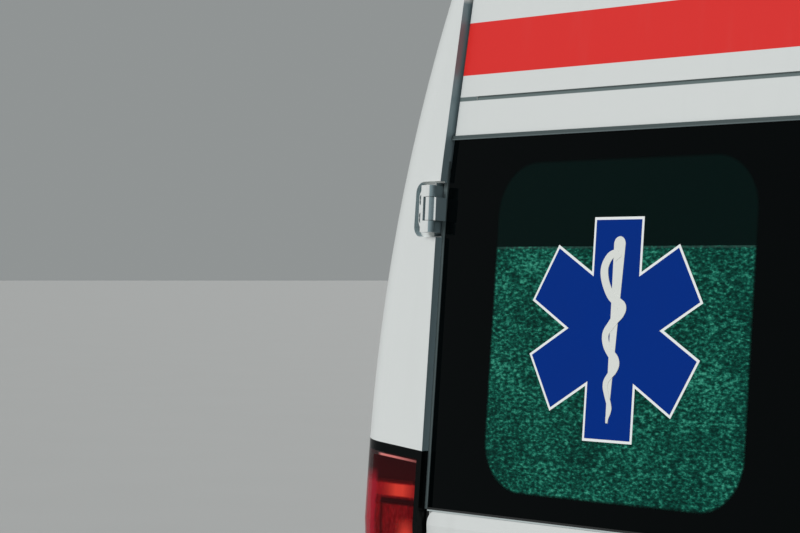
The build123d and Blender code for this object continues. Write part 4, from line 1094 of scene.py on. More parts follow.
@dataclass
class Shop:
    """Turns shapes into finished pieces that ride on the frame's bodies."""

    finishes: Finishes
    count: int = 0

    def add(self, name: str, shape: Shape, finish: str, body: str = VAN) -> Piece:
        """Adds one piece, in a named finish, that moves with a body."""
        return self.keep(shape.piece(name, self.finishes.made[finish]), body)

    def pad(self, name: str, mesh: Mesh, place: Matrix, finish: str, fill: float) -> Piece:
        """Adds a copy of a stuffed pad.

        Args:
            name: Name of the piece.
            mesh: The pad, round its own middle.
            place: Where it goes.
            finish: Name of its finish.
            fill: How tight it is; not used.

        Returns:
            The piece.
        """
        copied = mesh.copy()
        copied.transform(place)
        copied.materials.clear()
        copied.materials.append(self.finishes.made[finish])
        made = bpy.data.objects.new(name, copied)
        bpy.context.scene.collection.objects.link(made)
        self.keep(made, VAN)
        return made

    def keep(self, made: Piece, body: str) -> Piece:
        """Fastens a piece to its body and reports it.

        Args:
            made: The piece.
            body: Body that it moves with.

        Returns:
            The piece.
        """
        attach(made, body)
        self.count += 1
        log.info("%s: %d faces, rides on %s", made.name, len(made.data.polygons), body)
        return made


@dataclass
class RearDoors:
    """What is on the rear doors besides their solids.

    Each coil is a point on the snake's middle line, from the star's centre: across, up and half its width.
    """

    shop: Shop
    glass_x: Flat = (0.006, 0.8285)
    glass_z: Flat = (1.3285, 1.9835)
    star: Flat = (0.412, 1.6548)
    star_reach: float = 0.1808
    star_arm: float = 0.0500
    border: float = 0.0046
    coils: tuple[Point, ...] = (
        (0.0040, 0.1161, 0.0075),
        (-0.0035, 0.1246, 0.0062),
        (-0.0151, 0.1200, 0.0072),
        (-0.0242, 0.1059, 0.0080),
        (-0.0255, 0.0917, 0.0084),
        (-0.0200, 0.0738, 0.0080),
        (-0.0084, 0.0558, 0.0080),
        (0.0078, 0.0443, 0.0085),
        (0.0170, 0.0366, 0.0096),
        (0.0143, 0.0276, 0.0096),
        (0.0048, 0.0173, 0.0086),
        (-0.0052, 0.0058, 0.0077),
        (-0.0135, -0.0045, 0.0071),
        (-0.0152, -0.0148, 0.0071),
        (-0.0110, -0.0276, 0.0071),
        (-0.0017, -0.0391, 0.0074),
        (0.0082, -0.0481, 0.0077),
        (0.0114, -0.0571, 0.0077),
        (0.0080, -0.0668, 0.0068),
        (0.0000, -0.0756, 0.0061),
        (-0.0076, -0.0853, 0.0055),
        (-0.0090, -0.0943, 0.0053),
        (-0.0061, -0.1046, 0.0050),
        (0.0024, -0.1264, 0.0047),
        (0.0022, -0.1354, 0.0044),
        (-0.0007, -0.1443, 0.0034),
        (-0.0016, -0.1540, 0.0018),
    )
    coil_steps: int = 10
    rod_foot: Flat = (-0.0016, -0.1540)
    rod_foot_half: float = 0.0026
    rod_head: Flat = (0.0046, 0.1406)
    rod_head_radius: float = 0.0126
    vinyl: float = 0.0005
    # Width of the grey strip of painted shade beside each pane
    side_seal_wide: float = 0.009
    hinge_x: float = 0.866
    hinge_z: Flat = (0.780, 1.860)
    hinge_clear: float = 0.055
    hinge_lean: float = math.radians(3.4)
    screw_step: float = 0.016
    board_low: Flat = (-0.74, 0.70)
    board_high: Flat = (-0.09, 1.27)
    board_corner: float = 0.05
    gap_x: Flat = (0.8296, 0.8342)
    gap_z: Flat = (0.60, 2.31)
    meeting_z: Flat = (0.60, 2.30)
    plate: Flat = (0.375, 0.843)
    plate_half: Flat = (0.26, 0.055)
    plate_margin: float = 0.004
    plate_screw: Flat = (0.2, 0.032)
    plate_lamps: Flat = (0.21, 0.54)
    plate_lamp_z: float = 0.916
    lock_at: Flat = (-0.18, 1.075)

    def build(self) -> None:
        """Makes the pieces of both doors."""
        for side in Side:
            self.emblem(side)
            self.seals(side)
            self.hinge_screws(side)
            self.inner_board(side)
            self.side_seal(side)
        self.meeting_seal()
        self.number_plate()
        self.lock()

    def star_outline(self, grow: float) -> list[Flat]:
        """Outline of the six-armed star.

        Args:
            grow: How much larger it is all round.

        Returns:
            The outline.
        """
        reach, half = self.star_reach + grow, self.star_arm + grow
        points = []
        for arm in range(6):
            angle = math.radians(90 + 60 * arm)
            cos, sin = math.cos(angle), math.sin(angle)
            for edge in (-half, half):
                points.append((cos * reach - sin * edge, sin * reach + cos * edge))
            notch = angle + math.radians(30)
            points.append((math.cos(notch) * half * 2, math.sin(notch) * half * 2))
        return points

    def snake(self) -> list[Flat]:
        """Outline of the snake, with its coils joined by smooth curves.

        Returns:
            The outline.
        """
        knots = self.coils
        points = []
        for four in zip(knots[:1] + knots, knots, knots[1:], knots[2:] + knots[-1:]):
            for k in range(self.coil_steps):
                t = k / self.coil_steps
                weights = (2 * t**2 - t - t**3, 2 - 5 * t**2 + 3 * t**3, t + 4 * t**2 - 3 * t**3, t**3 - t**2)
                points.append(tuple(sum(w * p[i] for w, p in zip(weights, four)) / 2 for i in range(3)))
        points.append(knots[-1])
        left, right = [], []
        for back, (x, z, half), ahead in zip(points[:1] + points, points, points[1:] + points[-1:]):
            along = Vector((ahead[0] - back[0], ahead[1] - back[1])).normalized() * half
            left.append((x - along.y, z + along.x))
            right.append((x + along.y, z - along.x))
        return left + right[::-1]

    def rod(self) -> list[Flat]:
        """Outline of the tapering rod with its round head."""
        (x, z), half = self.rod_foot, self.rod_foot_half
        return [(x - half, z), (x + half, z)] + arc(self.rod_head, self.rod_head_radius, -8, 188, 14)

    def emblem(self, side: Side) -> None:
        """Lays the star with its rod and snake on one pane.

        Args:
            side: Side of the door.
        """
        place = rear_place(self.star[0] * side.value, self.star[1])
        layers = (
            ("star_border", "sticker_white", self.star_outline(self.border), (0.0, 1.0)),
            ("star", "sticker_blue", self.star_outline(0.0), (1.0, 2.0)),
            ("rod", "sticker_cream", self.rod(), (1.5, 3.0)),
            ("snake", "sticker_cream", self.snake(), (1.5, 4.0)),
        )
        for name, finish, outline, layer in layers:
            depths = [self.vinyl * height for height in layer]
            shape = Shape().prism(outline, *depths, place)
            self.shop.add(f"{name}_{side}", shape, finish, f"rear_door_{side}")

    def seals(self, side: Side) -> None:
        """Rubber, and strips of painted shade and painted highlight, round one pane.

        Args:
            side: Side of the door.
        """
        body = f"rear_door_{side}"
        inner, outer = (value * side.value for value in self.glass_x)
        foot, top = self.glass_z
        edges = (
            # Painted shade: a slate band where the panel returns above the glass
            ("window_top_seal", "seal_slate", top + 0.0004, 0.0056, 0.003),
            # Painted highlight: a grey line along the glass's top edge
            ("window_top_line", "seal_grey", top - 0.0016, 0.0020, 0.0034),
            # Painted highlight: a pale line on the panel's edge below the glass
            ("window_foot_line", "bright_line", foot - 0.0035, 0.0026, 0.0012),
            ("window_foot_seal", "seal_rubber", foot - 0.0005, 0.0035, 0.0016),
        )
        for name, finish, z, high, out in edges:
            section = ((z, -0.001), (z, out), (z + high, out), (z + high, -0.001))
            rows = []
            for x in spread(inner, outer, 12):
                rows.append([rear_place(x, up) @ Vector((0.0, 0.0, o)) for up, o in section])
            self.shop.add(f"{name}_{side}", Shape().skin(rows), finish, body)
        # Grey strip of painted shade down the pane's outer side, where the door's edge returns
        low, high = (0.0, self.side_seal_wide) if side is Side.RIGHT else (-self.side_seal_wide, 0.0)
        section = ((low, -0.004), (high, -0.004), (high, 0.0015), (low, 0.0015))
        shape = Shape().carried(section, [rear_place(outer, z) for z in spread(foot, top, 16)])
        self.shop.add(f"window_side_seal_{side}", shape, "seal_grey", body)

    def hinge_screws(self, side: Side) -> None:
        """Socket screws in one side's hinge brackets.

        Args:
            side: Side of the door.
        """
        shape = Shape()
        sin, cos = math.sin(self.hinge_lean), math.cos(self.hinge_lean)
        head, rim, socket = 0.0052, 0.0044, 0.0026
        profile = ((head, 0.0), (head, 0.0036), (rim, rim), (socket, rim), (socket, 0.0014), (0.0002, 0.0012))
        for height in self.hinge_z:
            y = WAIST_Y - 0.0128 - (height - WAIST_Z) * sin / cos
            for step in (-self.screw_step, self.screw_step):
                origin = (side.value * self.hinge_x, y - step * sin, height + step * cos)
                shape.lathe(profile, upright(origin, BACKWARD, (-sin, cos)), 20)
        self.shop.add(f"hinge_screws_{side}", shape, "dull_steel")

    def inner_board(self, side: Side) -> None:
        """Board on the inside of one door.

        Args:
            side: Side of the door.
        """
        outline = rounded(self.board_low, self.board_high, self.board_corner)
        if side is Side.RIGHT:
            outline = [(-x, z) for x, z in outline]
        place = upright((0.0, rear_y(WAIST_Z, DOOR_SETBACK) - 0.052, 0.0), BACKWARD)
        shape = Shape().prism(outline, -0.006, 0.0, place, 0.002)
        self.shop.add(f"door_board_{side}", shape, "board_grey", f"rear_door_{side}")

    def side_seal(self, side: Side) -> None:
        """Rubber in the gap between a door and its pillar, broken at the hinges.

        Args:
            side: Side of the door.
        """
        near, far = (-side.value * x for x in self.gap_x)
        section = ((near, -0.014), (far, -0.014), (far, -0.003), (near, -0.003))
        shape = Shape()
        run = []
        for z in spread(*self.gap_z, 48):
            if all(abs(z - height) > self.hinge_clear for height in self.hinge_z):
                run.append(rear_place(0.0, z))
            elif run:
                shape.carried(section, run)
                run = []
        shape.carried(section, run)
        self.shop.add(f"door_side_seal_{side}", shape, "seal_rubber")

    def meeting_seal(self) -> None:
        """Rubber where the doors meet."""
        half = 0.0032
        section = ((half, -0.012), (half, -0.003), (0.0, -0.0015), (-half, -0.003), (-half, -0.012))
        shape = Shape().carried(section, [rear_place(0.0, z) for z in spread(*self.meeting_z, 40)])
        self.shop.add("door_meeting_seal", shape, "seal_rubber", "rear_door_left")

    def number_plate(self) -> None:
        """Frame and screws of the blank plate, and the lenses of its lamps."""
        body = "rear_door_left"
        place = rear_place(*self.plate, DOOR_SETBACK + 0.006)
        high = tuple(half + self.plate_margin for half in self.plate_half)
        outline = rounded((-high[0], -high[1]), high, 0.008)
        edge = Shape().moulding(outline, 0.009, -0.001, 0.0035, flat(place))
        self.shop.add("plate_frame", edge, "trim_black", body)
        screws = Shape()
        head = ((0.006, -0.001), (0.006, 0.0012), (0.0045, 0.0022), (0.0016, 0.0024), (0.0002, 0.0018))
        for x in (-self.plate_screw[0], self.plate_screw[0]):
            screws.lathe(head, place @ Matrix.Translation((x, self.plate_screw[1], 0.0)), 20)
        self.shop.add("plate_screws", screws, "dull_steel", body)
        lenses = Shape()
        for x in self.plate_lamps:
            below = rear_place(x, self.plate_lamp_z, DOOR_SETBACK) @ Matrix.Rotation(math.radians(90), 4, "X")
            lenses.prism(rounded((-0.03, -0.008), (0.03, 0.006), 0.004), -0.001, 0.003, below)
        self.shop.add("plate_lamp_lenses", lenses, "lens_clear", body)

    def lock(self) -> None:
        """Key cylinder below the handle's grip."""
        place = rear_place(*self.lock_at, DOOR_SETBACK - 0.006)
        body = "rear_door_right"
        profile = ((0.013, -0.004), (0.013, 0.006), (0.0115, 0.008))
        profile += ((0.0095, 0.008), (0.009, 0.0068), (0.0002, 0.0068))
        self.shop.add("rear_lock", Shape().lathe(profile, place, 32), "bright_steel", body)
        slot = rounded((-0.0009, -0.0045), (0.0009, 0.0045), 0.0006, 2)
        self.shop.add("rear_lock_slot", Shape().prism(slot, 0.0066, 0.0071, place), "seal_rubber", body)


@dataclass
class TailLamps:
    """Reflectors, bulbs and liners inside the tail lamps."""

    shop: Shop
    bowl_x: float = 0.905
    liner_x: Flat = (0.862, 1.008)
    liner_z: Flat = (0.866, 1.416)
    liner_depth: float = 0.041

    def build(self) -> None:
        """Makes the insides of both lamps."""
        for side in Side:
            self.boxes(side)
            self.liner(side)
            self.bowls(side)

    def boxes(self, side: Side) -> None:
        """Boxed reflectors in the upper part of one lamp.

        Args:
            side: Side of the lamp.
        """
        shape = Shape()
        for z, high, inner, outer in ((1.352, 0.024, 0.868, 0.968), (1.268, 0.062, 0.876, 0.962)):
            low_x, high_x = sorted(-side.value * x for x in (inner, outer))
            outline = [(low_x, 0.0), (high_x, 0.0), (high_x, high), (low_x, high)]
            shape.prism(outline, -0.034, -0.014, rear_place(0.0, z, 0.0), 0.003)
        self.shop.add(f"tail_steps_{side}", shape, "lamp_red_bright")

    def liner(self, side: Side) -> None:
        """Dark back of one lamp.

        Args:
            side: Side of the lamp.
        """
        behind = Vector((0.0, 0.0, -self.liner_depth))
        rows = []
        for z in spread(*self.liner_z, 8):
            rows.append(tuple(rear_place(side.value * x, z, 0.0) @ behind for x in self.liner_x))
        self.shop.add(f"tail_liner_{side}", Shape().ribbon(rows, Vector((0.0, -0.002, 0.0))), "lamp_red_deep")

    def bowls(self, side: Side) -> None:
        """Round reflectors of one lamp, with their bulbs.

        Args:
            side: Side of the lamp.
        """
        bulb = ((0.0075, -0.038), (0.009, -0.028), (0.0085, -0.022), (0.005, -0.018), (0.0004, -0.0168))
        kinds = (
            ("brake", 1.238, 0.040, "lamp_red_bright", "lamp_amber"),
            ("reverse", 1.100, 0.050, "lamp_chrome", "white_plastic"),
            ("fog", 0.930, 0.046, "lamp_red_bright", "lamp_amber"),
        )
        for name, z, radius, finish, bulb_finish in kinds:
            place = rear_place(side.value * self.bowl_x, z, 0.0)
            bowl = [(radius * t, -0.040 + 0.026 * t * t) for t in (1.0, 0.85, 0.7, 0.5, 0.3, 0.12, 0.02)]
            bowl += [(r, h - 0.002) for r, h in bowl[::-1]]
            self.shop.add(f"tail_{name}_bowl_{side}", Shape().lathe(bowl, place, 40, True), finish)
            self.shop.add(f"tail_{name}_bulb_{side}", Shape().lathe(bulb, place, 20), bulb_finish)


@dataclass(frozen=True)
class Corner:
    """One wheel's place."""

    word: str
    side: Side
    x: float
    y: float
    steered: bool

    @property
    def place(self) -> Matrix:
        """Matrix with the axle as the third axis, pointing outwards."""
        return sideways((self.side.value * self.x, self.y, TYRE_RADIUS), self.side)


@dataclass
class Wheels:
    """Treaded tyres, bolts, caps, valves and brakes."""

    shop: Shop
    front_x: float = 0.905
    rear_x: float = 0.895
    tread_steps: int = 168
    block_steps: int = 4
    block_depth: float = 0.006
    half: float = 0.1075
    groove: float = 0.0075
    bolt_circle: float = 0.065
    valve_drop: float = 0.165

    def build(self) -> None:
        """Makes all four wheels."""
        for side in Side:
            for end, x, y in (("front", self.front_x, FRONT_AXLE), ("rear", self.rear_x, REAR_AXLE)):
                self.wheel(Corner(f"{end}_{side}", side, x, y, end == "front"))

    def wheel(self, corner: Corner) -> None:
        """Makes one wheel's pieces.

        Args:
            corner: Where the wheel is.
        """
        body, word, place = f"wheel_{corner.word}", corner.word, corner.place
        tyre = self.shop.add(f"tread_{word}", self.tyre(place), "tyre_rubber", body)
        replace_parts(tyre, f"tyre_{word}")
        self.shop.add(f"bolts_{word}", self.bolts(place), "dull_steel", body)
        cap = ((0.042, 0.0363), (0.042, 0.045), (0.038, 0.0515), (0.021, 0.0545), (0.0005, 0.0552))
        inner = ((0.0005, 0.0515), (0.019, 0.0505), (0.034, 0.048), (0.037, 0.044), (0.037, 0.0363))
        self.shop.add(f"hub_cap_{word}", Shape().lathe(cap + inner, place, 40, True), "gloss_black", body)
        valve = place @ Matrix.Translation((0.0, -self.valve_drop, 0.0))
        stem = ((0.0055, 0.048), (0.0055, 0.052), (0.004, 0.054), (0.004, 0.078))
        stem += ((0.0048, 0.079), (0.0048, 0.086), (0.0004, 0.087))
        self.shop.add(f"valve_{word}", Shape().lathe(stem, valve, 16), "seal_rubber", body)
        disc = ((0.140, -0.075), (0.140, -0.053), (0.088, -0.053), (0.084, 0.010))
        disc += ((0.046, 0.010), (0.046, 0.005), (0.078, 0.005), (0.082, -0.075))
        self.shop.add(f"brake_disc_{word}", Shape().lathe(disc, place, 64, True), "dull_steel", body)
        holder = f"steer_{corner.side}" if corner.steered else VAN
        self.shop.add(f"caliper_{word}", self.caliper(place), "cast_metal", holder)

    def section(self, blocks: bool) -> list[Flat]:
        """Profile of the tyre at one angle.

        Args:
            blocks: Whether the shoulder stands up there, or is cut by a groove.

        Returns:
            Radius and place along the axle of each point.
        """
        cut = 0.0 if blocks else self.block_depth
        floor = TYRE_RADIUS - self.groove
        side = [(0.1925, 0.084), (0.197, 0.092), (0.206, 0.0935), (0.212, 0.0965), (0.232, 0.1045)]
        side += [(0.262, self.half), (0.285, 0.1065), (0.303, 0.1035), (0.306, 0.1045), (0.309, 0.1030)]
        side.append((0.327 - cut, 0.0985))
        shoulder = [(0.3355 - cut, 0.0900), (0.3390 - cut, 0.0800), (0.3395 - cut, 0.0625)]
        ribs = [(floor - 0.001, 0.0610), (floor - 0.001, 0.0550), (0.3402, 0.0535), (0.3407, 0.0235)]
        ribs += [(floor, 0.0220), (floor, 0.0150), (TYRE_RADIUS, 0.0135)]
        half = side + shoulder + ribs
        return half + [(r, -h) for r, h in half[::-1]]

    def tyre(self, place: Matrix) -> Shape:
        """One tyre with its tread.

        Args:
            place: The wheel's place.

        Returns:
            The tyre.
        """
        rings = []
        for k in range(self.tread_steps):
            angle = 2 * math.pi * k / self.tread_steps
            cos, sin = math.cos(angle), math.sin(angle)
            profile = self.section(k % self.block_steps != 0)
            rings.append([place @ Vector((r * cos, r * sin, h)) for r, h in profile])
        return Shape().skin(rings, closed=True)

    def bolts(self, place: Matrix) -> Shape:
        """Five wheel bolts with their washers.

        Args:
            place: The wheel's place.

        Returns:
            The bolts.
        """
        shape = Shape()
        for x, y in arc((0.0, 0.0), self.bolt_circle, 90, 378, 4):
            spot = place @ Matrix.Translation((x, y, 0.0))
            shape.lathe(((0.0145, 0.0355), (0.0145, 0.039), (0.0115, 0.041)), spot, 24)
            shape.prism(hexagon(0.0112), 0.0405, 0.0535, spot, 0.0012)
        return shape

    def caliper(self, place: Matrix) -> Shape:
        """Brake caliper round the disc's edge.

        Args:
            place: The wheel's place.

        Returns:
            The caliper.
        """
        section = ((0.094, -0.092), (0.160, -0.092), (0.160, -0.036), (0.094, -0.036))
        section += ((0.094, -0.047), (0.146, -0.047), (0.146, -0.081), (0.094, -0.081))
        rings = []
        for cos, sin in arc((0.0, 0.0), 1.0, 152, 208, 8):
            rings.append([place @ Vector((r * cos, r * sin, h)) for r, h in section])
        return Shape().skin(rings)


@dataclass
class FrontEnd:
    """Lamps, plate, wipers and what lies behind the openings at the front."""

    shop: Shop
    back: float = 0.036
    bezel_x: Flat = (0.590, 0.935)
    bezel_depth: float = 0.088
    indicator: Flat = (0.932, 0.925)
    fog: Point = (0.690, FRONT + 0.109, 0.400)
    plate_z: float = 0.605
    holder_half: Flat = (0.266, 0.061)
    plate_half: Flat = (0.259, 0.054)
    screen_low: Flat = (0.820, 1.380)
    screen_high: float = 0.740
    screen_corners: tuple[float, ...] = (0.050, 0.050, 0.070, 0.070)
    cowl_half: float = 0.79
    ribs: int = 58
    wiper_foot: float = 1.340
    blade_foot: float = 1.385
    radiator_y: float = FRONT + 0.185
    core_low: Flat = (-0.36, 0.50)
    core_high: Flat = (0.36, 0.95)
    intake_y: float = FRONT + 0.150
    intake_half: float = 0.46

    def build(self) -> None:
        """Makes the pieces."""
        for side in Side:
            self.headlamp(side)
            self.fog_lamp(side)
        self.plate()
        self.screen_edge()
        self.cowl()
        self.wipers()
        self.radiator()
        self.intake()

    def headlamp(self, side: Side) -> None:
        """Inside of one headlamp.

        Args:
            side: Side of the lamp.
        """
        sign = side.value
        rows = []
        for x in spread(*self.bezel_x, 14):
            low = 0.752 if x < 0.78 else 0.752 + 0.045 * (x - 0.78) / 0.2
            high = 1.002 + 0.02 * (x - 0.6) / 0.385
            behind = Vector((0.0, 0.0, -self.bezel_depth))
            rows.append([nose_place(sign * x, z, self.back) @ behind for z in (low, high)])
        bezel = Shape().ribbon(rows, Vector((0.0, 0.003, 0.0)))
        self.shop.add(f"headlamp_bezel_{side}", bezel, "gloss_black")
        bulb = ((0.006, -0.052), (0.009, -0.046), (0.008, -0.030))
        bulb += ((0.010, -0.028), (0.009, -0.014), (0.0004, -0.012))
        for name, x, z, radius in (("low", 0.702, 0.872, 0.072), ("high", 0.842, 0.925, 0.052)):
            place = upright((sign * x, nose_y(x + radius, self.back) + 0.012, z), FORWARD)
            bowl = [(radius * t, -0.052 * (1 - t * t)) for t in (1.0, 0.9, 0.75, 0.6, 0.45, 0.3, 0.15, 0.02)]
            bowl += [(r + 0.0015, h - 0.002) for r, h in bowl[::-1]]
            self.shop.add(f"headlamp_{name}_bowl_{side}", Shape().lathe(bowl, place, 56, True), "lamp_chrome")
            inner, outer = radius + 0.001, radius + 0.007
            ring = ((inner, -0.006), (outer, -0.003), (outer, 0.001), (inner, 0.002))
            self.shop.add(f"headlamp_{name}_ring_{side}", Shape().lathe(ring, place, 56, True), "rim_silver")
            self.shop.add(f"headlamp_{name}_bulb_{side}", Shape().lathe(bulb, place, 24), "bright_steel")
        x, z = self.indicator
        outline = rounded((-0.030, -0.085), (0.022, 0.080), 0.014)
        amber = Shape().prism(outline, -0.046, -0.018, nose_place(sign * x, z, self.back), 0.004)
        self.shop.add(f"headlamp_indicator_{side}", amber, "lamp_amber")

    def fog_lamp(self, side: Side) -> None:
        """Lamp in the bumper's recess.

        Args:
            side: Side of the lamp.
        """
        x, y, z = self.fog
        place = upright((side.value * x, y, z), FORWARD)
        bowl = ((0.047, -0.0005), (0.049, 0.004), (0.049, 0.012), (0.045, 0.0145))
        bowl += ((0.042, 0.012), (0.030, 0.004), (0.0005, 0.001))
        self.shop.add(f"fog_lamp_{side}", Shape().lathe(bowl, place, 48), "lamp_chrome")
        glass = ((0.0430, 0.0135), (0.0400, 0.0185), (0.0300, 0.0235), (0.0150, 0.0265), (0.0004, 0.0275))
        glass += tuple((max(0.0002, r - 0.002), h - 0.002) for r, h in glass[::-1])
        self.shop.add(f"fog_lens_{side}", Shape().lathe(glass, place, 48, True), "lens_clear")

    def plate(self) -> None:
        """Blank plate on the front bumper."""
        place = upright((0.0, FRONT, self.plate_z), FORWARD)
        parts = (
            ("front_plate_holder", self.holder_half, 0.010, (-0.001, 0.003, 0.001), "trim_black"),
            ("front_plate", self.plate_half, 0.008, (0.003, 0.0045, 0.0005), "plate_white"),
        )
        for name, (x, z), corner, (low, high, soft), finish in parts:
            shape = Shape().prism(rounded((-x, -z), (x, z), corner), low, high, place, soft)
            self.shop.add(name, shape, finish)

    def screen_edge(self) -> None:
        """Printed border of the windscreen and the rubber round it."""
        half, low = self.screen_low
        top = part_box("windscreen")[1].z
        corners = ((-half, low), (half, low), (self.screen_high, top), (-self.screen_high, top))
        outline = divided(softened(corners, self.screen_corners, 8), 0.06)
        border = Shape().moulding(inset(outline, 0.002), 0.038, -0.0004, 0.0005, screen_point)
        self.shop.add("windscreen_border", border, "gloss_black")
        rubber = Shape().moulding(inset(outline, -0.006), 0.011, -0.001, 0.0028, screen_point)
        self.shop.add("windscreen_seal", rubber, "seal_rubber")

    def cowl(self) -> None:
        """Ribbed plastic panel at the windscreen's foot."""
        edge = ((1.336, -0.002), (1.336, 0.002), (1.340, 0.0045))
        edge += ((1.366, 0.0045), (1.370, 0.002), (1.370, -0.002))
        half = self.cowl_half
        shape = Shape().skin([[screen_point(x, z, out) for z, out in edge] for x in spread(-half, half, 40)])
        for x in spread(0.03 - half, half - 0.03, self.ribs - 1):
            section = ((x - 0.003, 0.003), (x + 0.003, 0.003), (x + 0.0015, 0.0072), (x - 0.0015, 0.0072))
            shape.skin([[screen_point(u, z, out) for u, out in section] for z in (1.343, 1.363)])
        self.shop.add("cowl_panel", shape, "trim_black")

    def wipers(self) -> None:
        """Both wipers, parked on the screen's foot."""
        knob = ((0.015, -0.012), (0.016, 0.016), (0.013, 0.026), (0.006, 0.029), (0.0004, 0.030))
        for name, pivot_x, tip_x, rise in (("left", 0.560, -0.060, 0.050), ("right", -0.100, -0.700, 0.055)):
            arm, blade = Shape(), Shape()
            foot = self.blade_foot
            path = list(zip(spread(pivot_x, tip_x, 10), spread(foot, foot + rise, 10)))
            blade.tube([screen_point(x, z, 0.008) for x, z in path], 0.0045)
            blade.tube([screen_point(x, z, 0.0145) for x, z in path], 0.0035)
            root, middle = (pivot_x + 0.03, self.wiper_foot), path[5]
            line = zip(spread(root[0], middle[0], 8), spread(root[1], middle[1], 8), spread(0.022, 0.016, 8))
            arm.tube([screen_point(x, z, out) for x, z, out in line], 0.0058)
            spindle = Matrix.Translation(screen_point(*root, 0.0)) @ Matrix.Rotation(SCREEN_ANGLE, 4, "X")
            arm.lathe(knob, spindle, 28)
            self.shop.add(f"wiper_arm_{name}", arm, "trim_black")
            self.shop.add(f"wiper_blade_{name}", blade, "seal_rubber")

    def radiator(self) -> None:
        """Radiator and its fan shroud behind the grille."""
        place = upright((0.0, self.radiator_y, 0.0), FORWARD)
        outline = rounded(self.core_low, self.core_high, 0.01)
        self.shop.add("radiator_core", Shape().prism(outline, -0.025, 0.0, place, 0.003), "radiator_fins")
        (low_x, low_z), (high_x, high_z) = self.core_low, self.core_high
        outline = rounded((low_x - 0.015, low_z - 0.015), (high_x + 0.015, high_z + 0.015), 0.02)
        border = Shape().moulding(outline, 0.022, -0.028, 0.006, flat(place))
        self.shop.add("radiator_frame", border, "trim_black")

    def intake(self) -> None:
        """Wire mesh in the bumper's opening."""
        mesh = Shape()
        half = self.intake_half
        for z in spread(0.322, 0.4485, 11):
            mesh.tube([(x, self.intake_y, z) for x in (-half, -0.2, 0.2, half)], 0.0018, 6)
        for x in spread(0.01 - half, half - 0.01, 30):
            mesh.tube([(x, self.intake_y + 0.0025, z) for z in (0.318, 0.38, 0.452)], 0.0016, 6)
        self.shop.add("intake_mesh", mesh, "trim_black")


